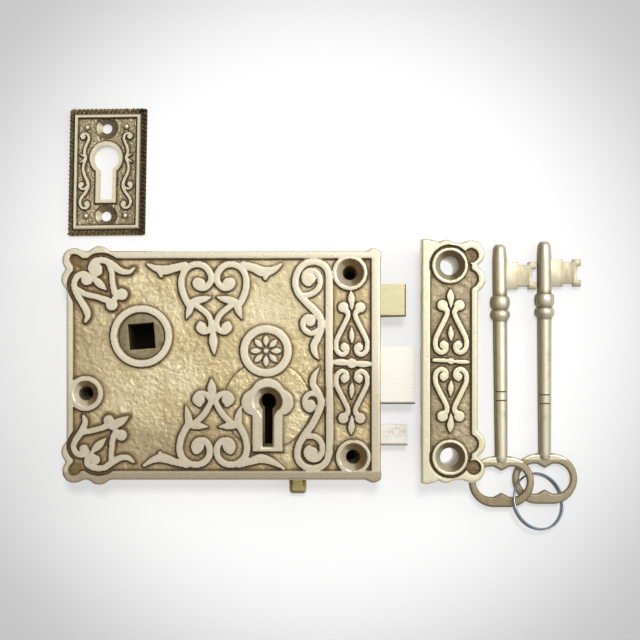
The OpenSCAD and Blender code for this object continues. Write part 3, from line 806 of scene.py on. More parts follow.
class WireTree:
    """Geometry Nodes that wind a wire into a coil."""

    SIZES = ("Turns", "Coil Radius", "Length", "Wire Radius")

    def __init__(self) -> None:
        """Build the tree."""
        self.tree = bpy.data.node_groups.new("wound_wire", "GeometryNodeTree")
        face = self.tree.interface
        face.new_socket("Geometry", in_out="INPUT", socket_type="NodeSocketGeometry")
        self.inputs = {n: face.new_socket(n, in_out="INPUT", socket_type="NodeSocketFloat").identifier
                       for n in self.SIZES}
        self.inputs["Finish"] = face.new_socket("Finish", in_out="INPUT",
                                                socket_type="NodeSocketMaterial").identifier
        face.new_socket("Geometry", in_out="OUTPUT", socket_type="NodeSocketGeometry")
        new = self.tree.nodes.new
        start, end = new("NodeGroupInput"), new("NodeGroupOutput")
        coil, wire, sweep, solid, dress = (new("GeometryNode" + kind) for kind in (
            "CurveSpiral", "CurvePrimitiveCircle", "CurveToMesh", "RealizeInstances", "SetMaterial"))
        coil.inputs["Resolution"].default_value = 72
        coil.inputs["Reverse"].default_value = True
        wire.inputs["Resolution"].default_value = 14
        sweep.inputs["Fill Caps"].default_value = True
        join(self.tree, (start, "Turns", coil, "Rotations"), (start, "Coil Radius", coil, "Start Radius"),
             (start, "Coil Radius", coil, "End Radius"), (start, "Length", coil, "Height"),
             (start, "Wire Radius", wire, "Radius"), (coil, "Curve", sweep, "Curve"),
             (wire, "Curve", sweep, "Profile Curve"), (sweep, "Mesh", solid, "Geometry"),
             (solid, "Geometry", dress, "Geometry"), (start, "Finish", dress, "Material"),
             (dress, "Geometry", end, "Geometry"))


class BeadTree:
    """Geometry Nodes that set slanted beads at the corners of a mesh or along its edges."""

    def __init__(self, along: bool) -> None:
        """Build the tree.

        Args:
            along: True to set beads along the edges, False to set one on each vertex.
        """
        self.tree = bpy.data.node_groups.new("rope_beads" if along else "set_beads", "GeometryNodeTree")
        face = self.tree.interface
        face.new_socket("Geometry", in_out="INPUT", socket_type="NodeSocketGeometry")
        kinds = {"Pitch": "NodeSocketFloat", "Bead": "NodeSocketVector", "Slant": "NodeSocketFloat",
                 "Finish": "NodeSocketMaterial"}
        self.inputs = {n: face.new_socket(n, in_out="INPUT", socket_type=k).identifier for n, k in kinds.items()}
        face.new_socket("Geometry", in_out="OUTPUT", socket_type="NodeSocketGeometry")
        new = self.tree.nodes.new
        start, end = new("NodeGroupInput"), new("NodeGroupOutput")
        bead, setter = new("GeometryNodeMeshUVSphere"), new("GeometryNodeInstanceOnPoints")
        bead.inputs["Segments"].default_value = 12
        bead.inputs["Rings"].default_value = 8
        bead.inputs["Radius"].default_value = 1.0
        join(self.tree, (bead, "Mesh", setter, "Instance"), (start, "Bead", setter, "Scale"))
        if along:
            curve, sample, way = (new("GeometryNode" + kind) for kind in (
                "MeshToCurve", "ResampleCurve", "InputTangent"))
            turn, slant, euler = (new("FunctionNode" + kind) for kind in (
                "AlignRotationToVector", "RotateRotation", "EulerToRotation"))
            bend = new("ShaderNodeCombineXYZ")
            sample.mode = "LENGTH"
            turn.axis = "X"
            slant.rotation_space = "LOCAL"
            join(self.tree, (start, "Geometry", curve, "Mesh"), (curve, "Curve", sample, "Curve"),
                 (start, "Pitch", sample, "Length"), (sample, "Curve", setter, "Points"),
                 (way, "Tangent", turn, "Vector"), (start, "Slant", bend, "Z"), (bend, "Vector", euler, "Euler"),
                 (turn, "Rotation", slant, "Rotation"), (euler, "Rotation", slant, "Rotate By"),
                 (slant, "Rotation", setter, "Rotation"))
        else:
            join(self.tree, (start, "Geometry", setter, "Points"))
        solid, dress, soft = (new("GeometryNode" + kind) for kind in (
            "RealizeInstances", "SetMaterial", "SetShadeSmooth"))
        join(self.tree, (setter, "Instances", solid, "Geometry"), (solid, "Geometry", soft, "Geometry"),
             (soft, "Geometry", dress, "Geometry"), (start, "Finish", dress, "Material"),
             (dress, "Geometry", end, "Geometry"))


def grow(name: str, seed: bpy.types.Mesh, tree: Union[WireTree, BeadTree],
         sizes: dict[str, object]) -> bpy.types.Mesh:
    """Run a tree on a seed mesh and keep the result as a plain mesh.

    Args:
        name: name of the result.
        seed: the mesh the tree starts from.
        tree: the tree.
        sizes: values for the tree's named inputs.

    Returns:
        The plain mesh.
    """
    holder = bpy.data.objects.new(name + "_seed", seed)
    bpy.context.scene.collection.objects.link(holder)
    modifier = holder.modifiers.new("shape", "NODES")
    modifier.node_group = tree.tree
    for key, value in sizes.items():
        modifier[tree.inputs[key]] = value
    graph = bpy.context.evaluated_depsgraph_get()
    mesh = bpy.data.meshes.new_from_object(holder.evaluated_get(graph))
    bpy.data.objects.remove(holder)
    mesh.name = name
    return mesh


CASE_SHEET = Drawing(800.2, 578.8, 14.436)
KEEP_SHEET = Drawing(-913.9, 688.5, 15.337)
PLATE_SHEET = Drawing(477.0, 785.4, 32.43)

TOP_CORNER = (
    stroke((386, 131, 12), (362, 147, 22), (322, 140, 30), (286, 112, 32), (246, 93, 30), (206, 98, 28),
           (187, 128, 26), (203, 156, 24), (228, 150, 22), (234, 130, 16)),
    stroke((272, 108, 28), (284, 150, 26), (288, 200, 26), (298, 242, 30)),
    ball(330, 250, 27), ball(304, 262, 16),
    stroke((186, 196, 14), (182, 172, 22), (156, 155, 26), (125, 168, 28), (110, 205, 28), (122, 246, 28),
           (146, 286, 30), (166, 322, 32), (173, 350, 26), (162, 376, 12)),
    stroke((120, 225, 24), (166, 250, 26), (216, 262, 26), (264, 278, 30)),
    ball(284, 298, 27), ball(296, 274, 14),
    stroke((190, 164, 4), (225, 198, 36), (260, 230, 4)),
    ball(216, 134, 26), ball(167, 183, 25),
)
LOW_CORNER = (
    stroke((153, 812, 14), (161, 842, 26), (143, 886, 30), (116, 926, 28), (108, 956, 26), (124, 986, 26),
           (152, 992, 24), (172, 974, 20), (160, 954, 18)),
    stroke((138, 890, 24), (188, 880, 26), (236, 868, 26), (264, 856, 30)),
    ball(270, 832, 24), stroke((285, 856, 40), (325, 838, 38), (364, 812, 4)),
    stroke((282, 1010, 26), (284, 960, 26), (290, 915, 28), (304, 888, 34)), ball(328, 900, 26),
    stroke((384, 1024, 12), (356, 1004, 26), (322, 1006, 28), (286, 1026, 30), (250, 1050, 28), (206, 1052, 28),
           (172, 1034, 26), (172, 1008, 24), (196, 996, 22), (216, 1012, 16)),
    stroke((184, 987, 4), (221, 950, 36), (260, 913, 4)),
    ball(156, 964, 21), ball(207, 1014, 23),
)
TOP_HALF = (
    stroke((648, 312, 28), (622, 266, 30), (607, 216, 30), (609, 168, 29), (631, 129, 29), (671, 111, 29),
           (712, 120, 29), (739, 154, 29), (740, 192, 29), (714, 220, 27), (683, 218, 25), (667, 200, 22),
           (677, 182, 21), (692, 188, 18)),
    stroke((640, 292, 26), (676, 279, 34), (710, 272, 28), (742, 263, 5)),
    stroke((649, 300, 36), (641, 330, 28), (628, 362, 4)),
    stroke((660, 292, 24), (696, 316, 26), (729, 346, 26), (743, 382, 26), (735, 412, 25), (708, 424, 25),
           (685, 406, 24), (693, 384, 22)),
    ball(692, 199, 24), ball(698, 402, 24),
)
TOP_WINGS = (
    stroke((450, 112, 12), (484, 128, 28), (528, 138, 42), (575, 128, 38), (622, 116, 34)),
    stroke((504, 138, 30), (512, 164, 16)),
    stroke((892, 114, 34), (940, 128, 40), (985, 146, 46), (1030, 136, 30), (1066, 111, 12)),
    stroke((1000, 150, 32), (992, 176, 16)),
    stroke((754, 398, 24), (753, 426, 23), (753, 462, 40), (755, 496, 26), (757, 526, 6)),
)
LOW_HALF = (
    stroke((643, 842, 31), (612, 895, 31), (598, 948, 31), (606, 998, 31), (643, 1031, 30), (694, 1033, 30),
           (730, 1004, 30), (736, 958, 30), (712, 925, 28), (677, 927, 26), (661, 954, 23), (673, 978, 22),
           (692, 970, 18)),
    stroke((640, 852, 30), (682, 857, 34), (728, 862, 5)),
    stroke((624, 766, 4), (635, 802, 28), (641, 842, 38)),
    stroke((748, 746, 26), (722, 713, 26), (688, 708, 26), (668, 737, 26), (690, 760, 22)),
    stroke((746, 738, 22), (728, 776, 28), (700, 815, 28), (664, 846, 26)),
    ball(686, 953, 24), ball(690, 737, 24),
)
LOW_WINGS = (
    stroke((432, 1041, 12), (474, 1015, 28), (520, 1006, 42), (572, 1022, 34), (630, 1037, 30)),
    stroke((515, 1006, 32), (506, 982, 16)),
    stroke((872, 1036, 30), (922, 1022, 34), (975, 1008, 42), (1030, 1026, 28), (1080, 1055, 10)),
    stroke((743, 642, 6), (746, 684, 40), (750, 722, 25), (751, 745, 25)),
)
DIVIDER = (
    stroke((1240, 550, 4), (1224, 525, 24), (1217, 488, 33), (1236, 448, 33), (1250, 402, 33), (1245, 356, 34),
           (1217, 320, 34), (1182, 286, 32), (1147, 246, 30), (1132, 200, 30), (1142, 148, 30), (1174, 110, 30),
           (1217, 100, 30), (1260, 113, 30), (1285, 152, 31), (1288, 220, 33), (1288, 400, 34), (1288, 580, 34),
           (1290, 760, 34), (1290, 940, 33), (1284, 1000, 31), (1258, 1040, 31), (1212, 1053, 31),
           (1168, 1040, 31), (1142, 1002, 31), (1147, 950, 31), (1174, 900, 32), (1210, 850, 32), (1240, 790, 33),
           (1250, 746, 34), (1237, 706, 34), (1213, 666, 31), (1219, 626, 26), (1242, 588, 4)),
    stroke((1158, 256, 25), (1203, 249, 26), (1238, 222, 26), (1246, 181, 26), (1230, 148, 26), (1199, 139, 24),
           (1174, 158, 23), (1174, 189, 23), (1194, 202, 22), (1209, 188, 18)),
    stroke((1244, 412, 25), (1205, 430, 25), (1173, 410, 25), (1167, 377, 25), (1187, 353, 24), (1211, 359, 23),
           (1214, 382, 18)),
    stroke((1176, 906, 25), (1217, 905, 27), (1249, 930, 27), (1256, 973, 27), (1235, 1009, 27), (1202, 1011, 25),
           (1181, 984, 24), (1191, 958, 22), (1210, 964, 18)),
    stroke((1240, 716, 25), (1203, 708, 25), (1177, 731, 25), (1179, 768, 25), (1201, 784, 24), (1218, 766, 18)),
    ball(1201, 177, 25), ball(1201, 376, 22), ball(1202, 758, 22), ball(1211, 979, 24),
)
LYRE_WIDE = 1.06
LYRE_ARM = (
    ball(-39, -272, 26),
    stroke((-32, -262, 30), (-19, -246, 26), (-18, -226, 24), (-33, -190, 24), (-55, -145, 24), (-71, -103, 24),
           (-69, -62, 24), (-47, -41, 24), (-25, -50, 22), (-20, -76, 21), (-35, -92, 18)),
    ball(-34, -77, 20),
)
LYRE_LEAVES = (
    stroke((-4, -352, 4), (-2, -318, 33), (0, -288, 22), (0, -262, 8)),
    stroke((-2, -174, 4), (0, -134, 27), (1, -98, 6)),
)
LYRE_BAR = (
    stroke((-84, -3, 26), (-50, -3, 33), (-16, 0, 26), (0, 2, 28), (16, 3, 26), (52, 6, 32), (84, 6, 26)),
    ball(0, 2, 25),
)
PLATE_SIDE = (
    stroke((226, 428, 34), (206, 402, 32), (232, 376, 32), (274, 386, 34), (290, 430, 36), (275, 474, 36),
           (251, 530, 38), (246, 590, 38), (261, 640, 38), (241, 700, 36), (233, 760, 36), (250, 822, 38),
           (279, 882, 40), (290, 940, 42), (269, 1002, 38), (221, 1066, 38), (206, 1120, 36), (226, 1168, 34),
           (270, 1178, 34), (299, 1144, 34), (284, 1112, 32), (262, 1124, 28)),
    stroke((286, 944, 32), (240, 974, 30), (201, 955, 30), (196, 920, 28), (225, 906, 28), (238, 926, 24)),
    stroke((254, 628, 30), (198, 596, 18)),
    stroke((254, 646, 30), (200, 688, 18)),
    ball(232, 412, 26), ball(218, 934, 22), ball(276, 1140, 26),
)


def rosette(across: float, down: float, petals: int) -> list[Stroke]:
    """Lay a plain rosette on a sheet.

    Args:
        across: its middle across the sheet.
        down: its middle down the sheet.
        petals: how many petals it has.

    Returns:
        The strokes.
    """
    strokes = [ball(across, down, 11)]
    for number in range(petals):
        a = 2 * math.pi * number / petals
        rows = ((24, 4), (44, 24), (58, 20), (72, 2))
        strokes.append(Stroke(tuple((across + r * math.sin(a), down - r * math.cos(a), w) for r, w in rows)))
    return strokes


def lyres(per_unit: float, across: float, down: float, bar: float) -> list[Stroke]:
    """Lay the pair of lyres with its bar on a sheet.

    Args:
        per_unit: sheet units in one unit of the lyre.
        across: the pair's middle across the sheet.
        down: the pair's middle down the sheet.
        bar: the bar's thickness as a share of the heaviest one.

    Returns:
        The strokes.
    """
    strokes = [Stroke(tuple((u, v, bar * w) for u, v, w in s.knots)) for s in LYRE_BAR]
    for half in (1, -1):
        for arm in LYRE_ARM:
            for side in (1, -1):
                strokes.append(Stroke(tuple((side * LYRE_WIDE * u, half * v, w) for u, v, w in arm.knots)))
        for leaf in LYRE_LEAVES:
            strokes.append(Stroke(tuple((u, half * v, w) for u, v, w in leaf.knots)))
    return [Stroke(tuple((across + per_unit * u, down + per_unit * v, per_unit * w) for u, v, w in s.knots))
            for s in strokes]


@dataclass
class CastFront:
    """What the cast fronts of the lock and the keep share: heights and edge rounding."""

    top: float = 20.0
    ground: float = 18.8
    flange_low: float = 15.0
    draft: float = 0.32
    edge_round: float = 0.7
    channel_reach: float = 1.5
    channel_darkening: float = 0.92
    scroll_share: float = 0.96
    lobe_fillet: float = 0.8
    box_round: float = 0.4
    bore_near: float = 2.0
    bore_share: float = 0.7
    bore_floor: float = 1.6

    def parts(self, p: Array) -> dict[str, Array]:
        """Distances to each kind of raised work, which every front lays out itself."""
        raise NotImplementedError

    def foot(self, p: Array) -> Array:
        """Distance to the nearest raised work."""
        return np.min(list(self.parts(p).values()), axis=0)

    def raised(self, d: Array, height: float, draft: float, crown: float = 0.05) -> Array:
        """Height of raised work above the ground.

        Args:
            d: distance to the work's edge, negative inside.
            height: full height.
            draft: how far the side leans.
            crown: share of the height that keeps rising towards the middle.

        Returns:
            Heights.
        """
        wall = 0.8 * np.clip(-d / draft, 0.0, 1.0) + 0.2 * ease(0.0, draft, -d)
        return height * ((1 - crown) * wall + crown * ease(0.0, 1.2, -d))

    def rounding(self, outline: Array) -> Array:
        """How far the outer edge falls away, from the distance to the outline."""
        t = 1.0 - np.clip(-outline / self.edge_round, 0.0, 1.0)
        return self.edge_round * (1.0 - np.sqrt(np.maximum(1.0 - t * t, 0.0)))

    @staticmethod
    def lit(p: Array, spot: Sequence[float], up: float = 0.41) -> Array:
        """How far points of a sunk cone lie on its side with the painted highlight, from -1 to 1.

        Args:
            p: the points.
            spot: the cone's middle.
            up: upward share of the way to the side with the painted highlight.

        Returns:
            The shares.
        """
        q = p - np.array(spot)
        return -(q @ np.array([math.sqrt(1.0 - up * up), up])) / np.maximum(np.hypot(q[:, 0], q[:, 1]), 0.01)

    @staticmethod
    def casting(p: Array, foot: Array) -> Array:
        """Unevenness of the sunk ground, fading out towards raised work."""
        lumps = 0.06 * crinkle(p, 1.0, 1) + 0.035 * crinkle(spin(p, 31), 2.1, 2) + 0.055 * crinkle(spin(p, 57), 0.65, 3)
        return lumps * ease(0.05, 0.7, foot)

    @staticmethod
    def lee(foot: Callable[[Array], Array], p: Array) -> Array:
        """How far points lie on the painted shadow side of raised work, which is its lower left."""
        away = np.array([-0.64, -0.77]) * 0.25
        return np.clip((foot(p + away) - foot(p - away)) + 0.5, 0.0, 1.0)

    def settle_shadow_and_channels(self, sheet: Sheet) -> None:
        """Write the painted shadow side of raised work and the darkening of narrow channels closed in by it.

        Args:
            sheet: the front.
        """
        p = sheet.verts[:, :2]
        sheet.values["lee"] = self.lee(self.foot, p)
        ways = np.radians(np.arange(0.0, 360.0, 45.0))
        spots = np.stack([np.cos(ways), np.sin(ways)], axis=1) * self.channel_reach
        closed = np.mean([self.foot(p + spot) < 0.0 for spot in spots], axis=0)
        channel_dark = self.channel_darkening * ease(0.4, 0.8, closed) * (sheet.values["relief"] < 0.2)
        sheet.values["shade"] = np.maximum(sheet.values["shade"], channel_dark)

    def hang(self, sheet: Sheet, bores: dict[Spot, Spot],
             body_low: Sequence[float], body_high: Sequence[float], flange_low: float, floor: float) -> None:
        """Close a front downwards: its outer side, the flange's underside and its holes.

        Args:
            sheet: the front.
            bores: where deep holes come out at the back, by their middle in front.
            body_low: lowest corner of the box under the flange.
            body_high: highest corner of the box under the flange.
            flange_low: height of the flange's underside.
            floor: depth of the other holes.
        """
        def size(row: Array) -> float:
            """Twice the area inside a rim."""
            x, y = sheet.verts[row, 0], sheet.verts[row, 1]
            return abs(float(x @ np.roll(y, -1) - y @ np.roll(x, -1)))

        outer = max(sheet.loops, key=size)
        for loop in sheet.loops:
            xy = sheet.verts[loop, :2]
            if loop is outer:
                side = sheet.ring(loop, xy, flange_low)
                inward = np.clip(xy, np.array(body_low) + LAP, np.array(body_high) - LAP)
                sheet.ring(side, inward, flange_low)
                continue
            middle = xy.mean(0)
            depth = floor
            for spot, end in bores.items():
                if np.hypot(*(middle - np.array(spot))) < self.bore_near:
                    xy, depth = np.array(end) + self.bore_share * (xy - middle), self.bore_floor
            sheet.ring(loop, xy, depth)

    def back_box(self, name: str, low: Sequence[float], high: Sequence[float], walls: Sequence[float],
                 windows: Sequence[Window]) -> Piece:
        """Make the open box under a front.

        Args:
            name: the piece's name.
            low: lowest corner across and up.
            high: highest corner, with the height where the front begins.
            walls: wall thickness towards low x, high x, low y and high y.
            windows: corners of the boxes cut out of the walls.

        Returns:
            The new object.
        """
        box = hollow_box(name, (low[0] + LAP, low[1] + LAP, 0.0), (high[0] - LAP, high[1] - LAP, high[2]), walls,
                         windows, self.box_round)
        Workshop.even(box, foot=3.0, relief=0.55, lee=0.4)
        return box


def hollow_box(name: str, low: Sequence[float], high: Sequence[float], walls: Sequence[float],
               windows: Sequence[Window], rounding: float) -> Piece:
    """Make an open box with windows in its walls.

    Args:
        name: the piece's name.
        low: lowest corner in millimetres.
        high: highest corner in millimetres.
        walls: wall thickness towards low x, high x, low y and high y.
        windows: corners of the boxes cut out of the walls.
        rounding: radius of the outer edges.

    Returns:
        The new object.
    """
    def block(label: str, a: Sequence[float], b: Sequence[float], soft: float = 0.0) -> Piece:
        """Make a solid block, rounded below its top."""
        bm = bmesh.new()
        bmesh.ops.create_cube(bm, size=1.0)
        for v in bm.verts:
            v.co = [(a[i] + (v.co[i] + 0.5) * (b[i] - a[i])) * MM for i in range(3)]
        if soft:
            edges = [e for e in bm.edges if min(v.co.z for v in e.verts) < (b[2] - 0.01) * MM]
            made = bmesh.ops.bevel(bm, geom=edges, offset=soft * MM, offset_type="OFFSET", segments=3,
                                   profile=0.5, affect="EDGES")
            for f in made["faces"]:
                f.smooth = True
        mesh = bpy.data.meshes.new(label)
        bm.to_mesh(mesh)
        bm.free()
        thing = bpy.data.objects.new(label, mesh)
        bpy.context.scene.collection.objects.link(thing)
        return thing

    body = block(name, low, high, rounding)
    inner = ((low[0] + walls[0], low[1] + walls[2], low[2] - 1),
             (high[0] - walls[1], high[1] - walls[3], high[2] + 1))
    for number, (a, b) in enumerate([inner, *windows]):
        tool = block(f"{name}_tool{number}", a, b)
        modifier = body.modifiers.new("cut", "BOOLEAN")
        modifier.operation = "DIFFERENCE"
        modifier.solver = "EXACT"
        modifier.object = tool
        graph = bpy.context.evaluated_depsgraph_get()
        mesh = bpy.data.meshes.new_from_object(body.evaluated_get(graph))
        body.modifiers.remove(modifier)
        body.data = mesh
        bpy.data.objects.remove(tool)
    mesh = body.data
    bpy.data.objects.remove(body)
    return Workshop.from_mesh(name, mesh, 0.0)


@dataclass
class LockCase(CastFront):
    """The lock's cast case with its scrolls, bosses, keyhole surround and rim."""

    low: Spot = (-50.3, -36.6)
    high: Spot = (50.3, 36.6)
    panel_low: Spot = (-47.9, -33.4)
    panel_high: Spot = (47.1, 34.0)
    bosses: tuple[Spot, ...] = ((40.4, 29.7), (41.5, -29.3), (-44.15, -8.95))
    bores: tuple[Spot, ...] = ((41.05, 29.65), (41.05, -29.65), (-44.3, -8.9))
    boss_r: float = 5.85
    sinks: tuple[float, ...] = (4.5, 4.5, 4.1)
    hole_r: float = 2.3
    follower: Spot = (-26.3, 9.4)
    key: Spot = (14.05, -11.6)
    mark: Spot = (13.6, 4.7)
    left_lobes: tuple[Spot, ...] = ((2.5, 2.9), (10.5, 2.3), (2.2, 9.0))
    left_lobe_r: float = 3.9
    right_lobe: Spot = (2.4, 1.4)
    right_lobe_r: float = 2.4
    follower_r: float = 7.35
    ring_r: float = 8.78
    ring_half: float = 1.33
    mark_r: float = 7.0
    mark_half: float = 1.5
    eye_r: float = 2.75
    slot_half: float = 1.65
    slot_l: float = 14.4
    head: Spot = (2.2, 5.6)  # rise and radius
    ear: Place = (4.2, -0.2, 4.4)  # side, rise and radius
    stem: Spot = (5.1, 16.2)  # half width and length
    plinth: Spot = (13.8, -12.6)
    plinth_r: float = 14.2
    plinth_h: float = 0.3
    walls: tuple[float, ...] = (2.0, 3.0, 2.0, 2.0)
    windows: tuple[Window, ...] = (
        ((45.0, 15.75, 4.35), (52.0, 26.45, 14.65)), ((45.0, -12.65, 4.35), (52.0, 6.15, 13.65)),
        ((45.0, -26.45, 2.05), (52.0, -19.25, 9.35)), ((12.15, -38.0, 2.0), (25.95, -34.0, 4.9)))
    hole_floor: float = 17.0
    margin: float = 2.2
    bolt_margin: float = 0.6
    cell: float = 0.31
    corners: Ornament = field(init=False)
    scrolls: Ornament = field(init=False)

    def __post_init__(self) -> None:
        """Lay out the ornament."""
        self.corners = Ornament(CASE_SHEET, [*TOP_CORNER, *LOW_CORNER], 0.26)
        strokes = [*TOP_HALF, *TOP_WINGS, *LOW_HALF, *LOW_WINGS, *DIVIDER]
        strokes += [s.moved(flip_across=756) for s in TOP_HALF]
        strokes += [s.moved(flip_across=753) for s in LOW_HALF]
        strokes += lyres(0.94, 1392, 566, 1.0) + rosette(996, 511, 8)
        self.scrolls = Ornament(CASE_SHEET, strokes, 0.26)

    def outline(self, p: Array) -> Array:
        """Distance to the front's outline with its corner lobes."""
        d = slab(p, self.low, self.high, 0.6)
        for sign in (1, -1):
            edge = self.high[1] if sign > 0 else -self.low[1]
            for across, up in self.left_lobes:
                lobe = disc(p, (self.low[0] + across, sign * (edge - up)), self.left_lobe_r)
                d = meld(d, lobe, self.lobe_fillet)
            across, up = self.right_lobe
            lobe = disc(p, (self.high[0] - across, sign * (edge - up)), self.right_lobe_r)
            d = meld(d, lobe, self.lobe_fillet)
        return d

    def keyhole(self, p: Array) -> Array:
        """Distance to the keyhole."""
        x, y = self.key
        slot = slab(p, (x - self.slot_half, y - self.slot_l), (x + self.slot_half, y))
        return np.minimum(disc(p, self.key, self.eye_r), slot)

    def domain(self, p: Array) -> Array:
        """Distance to the metal of the front."""
        holes = np.minimum(self.keyhole(p), disc(p, self.follower, self.follower_r))
        for spot in self.bosses:
            holes = np.minimum(holes, disc(p, spot, self.hole_r))
        return np.maximum(self.outline(p), -holes)

    def surround(self, p: Array) -> Array:
        """Distance to the raised surround of the keyhole."""
        x, y = self.key
        rise, radius = self.head
        d = disc(p, (x, y + rise), radius)
        across, rise, radius = self.ear
        for side in (-1, 1):
            d = meld(d, disc(p, (x + side * across, y + rise), radius), 0.9)
        half, length = self.stem
        return np.minimum(d, slab(p, (x - half, y - length), (x + half, y), 0.3))

    def pockets(self, p: Array) -> Array:
        """Distance to the hollows in the corner lobes."""
        best = np.full(len(p), FAR)
        for spot, half, turn in (((128, 103), (2.9, 1.7), -45), ((118, 1052), (2.4, 1.7), 42)):
            x, y, _ = CASE_SHEET.place(np.array([[*spot, 0.0]], float))[0]
            q = spin(p - [x, y], -turn) / np.array(half)
            best = np.minimum(best, (np.hypot(q[:, 0], q[:, 1]) - 1.0) * min(half))
        return best

    def parts(self, p: Array) -> dict[str, Array]:
        """Distances to each kind of raised work."""
        corner = self.corners.distance(p)
        rim = -slab(p, self.panel_low, self.panel_high)
        rim = np.maximum(rim, 0.8 - corner)
        rim = np.maximum(rim, -self.pockets(p))
        boss = np.full(len(p), FAR)
        for spot in self.bosses:
            boss = np.minimum(boss, disc(p, spot, self.boss_r))
        ring = np.abs(disc(p, self.follower, self.ring_r)) - self.ring_half
        mark = np.abs(disc(p, self.mark, self.mark_r)) - self.mark_half
        return {"scroll": np.minimum(corner, self.scrolls.distance(p)), "rim": rim, "boss": boss, "ring": ring,
                "mark": mark, "surround": self.surround(p)}

    def surface(self, p: Array) -> dict[str, Array]:
        """Heights and painted values of the front."""
        part = self.parts(p)
        full = self.top - self.ground
        foot = np.min(list(part.values()), axis=0)
        h = self.raised(part["scroll"], full * self.scroll_share, self.draft)
        for name in ("rim", "boss", "ring", "mark", "surround"):
            h = np.maximum(h, self.raised(part[name], full, self.draft))
        low_disc = np.minimum(disc(p, self.plinth, self.plinth_r), disc(p, self.mark, self.mark_r))
        h = np.maximum(h, self.raised(low_disc, self.plinth_h, 0.5))
        x, y = p[:, 0], p[:, 1]
        # Painted light: the upper right is painted brighter, and its casting is smoother there
        painted_highlight = ease(-10.0, 14.0, x) * ease(0.0, 14.0, y) * ease(38.0, 34.0, x)
        z = self.ground + h + self.casting(p, foot) * (1.0 - 0.7 * painted_highlight)
        z = z - self.rounding(self.outline(p))
        relief = np.clip(h / full, 0.0, 1.0)
        tops = relief > 0.5
        relief = np.maximum(relief, 0.42 * painted_highlight)
        # Painted shade: darker low down and at the left, on the lower rim and, for the tops, towards the bottom; the
        # strip by the bolts is darker too
        below = 0.52 * ease(-13.0, -24.0, y) * (1.0 - 0.7 * ease(-8.0, 18.0, x))
        shade = np.maximum(below, 0.3 * ease(-30.0, -44.0, x))
        shade = np.maximum(shade, 0.2 * ease(35.0, 36.0, x))
        lower_rim = ease(self.panel_low[1] - 0.2, self.panel_low[1] - 1.0, y)
        shade = np.where(tops, 0.36 * ease(6.0, -16.0, y) + 0.5 * lower_rim, shade)
        low_line = np.where((foot > 0.3) & (low_disc > -0.3), np.maximum(low_disc, 0.0) + 0.22, FAR)
        shade = np.maximum(shade, 0.9 * ease(0.1, -0.3, self.pockets(p)))
        shade = np.maximum(shade, 0.75 * ease(1.3, 0.6, foot) * (self.corners.distance(p) < 1.6) * ~tops)
        # The screw holes and the keyhole are sunk, each painted with a highlight on its lower left and shade on the
        # other side
        around = self.keyhole(p)
        border = 0.5 + 1.5 * ease(self.key[1] - 5.0, self.key[1] - 1.5, y)
        dips = [(disc(p, spot, 0.0) - sink, 1.0, spot) for spot, sink in zip(self.bosses, self.sinks)]
        for d, steep, spot in (*dips, (around - border, 0.85, self.key)):
            inside = d < 0.0
            way = self.lit(p, spot)
            z = np.where(inside, np.minimum(z, self.top + steep * d), z)
            relief = np.where(inside, 0.25 + 0.75 * ease(-0.1, 0.8, way), relief)
            shade = np.where(inside, 0.75 * ease(0.5, -0.7, way), shade)
        foot = np.where(foot > 0.0, np.minimum(foot, low_line), foot)
        return {"z": z, "foot": foot, "relief": relief, "shade": shade}

    def build(self, cast: Material) -> None:
        """Make the front and the box behind it.

        Args:
            cast: the finish of cast brass.
        """
        cutter = ReliefCutter((self.low[0] - self.margin, self.low[1] - self.margin),
                              (self.high[0] + self.bolt_margin, self.high[1] + self.margin),
                              self.cell, self.domain, self.surface, (0.0, -self.draft))
        sheet = cutter.build()
        self.settle_shadow_and_channels(sheet)
        self.hang(sheet, dict(zip(self.bosses, self.bores)), self.low, self.high, self.flange_low, self.hole_floor)
        front = Workshop.from_sheet("case_front", sheet)
        Workshop.send(front, Body.LOCK, Slot.CAST, cast, "case")
        box = self.back_box("case_box", self.low, (*self.high, self.flange_low), self.walls, self.windows)
        Workshop.send(box, Body.LOCK, Slot.CAST, cast, "case")


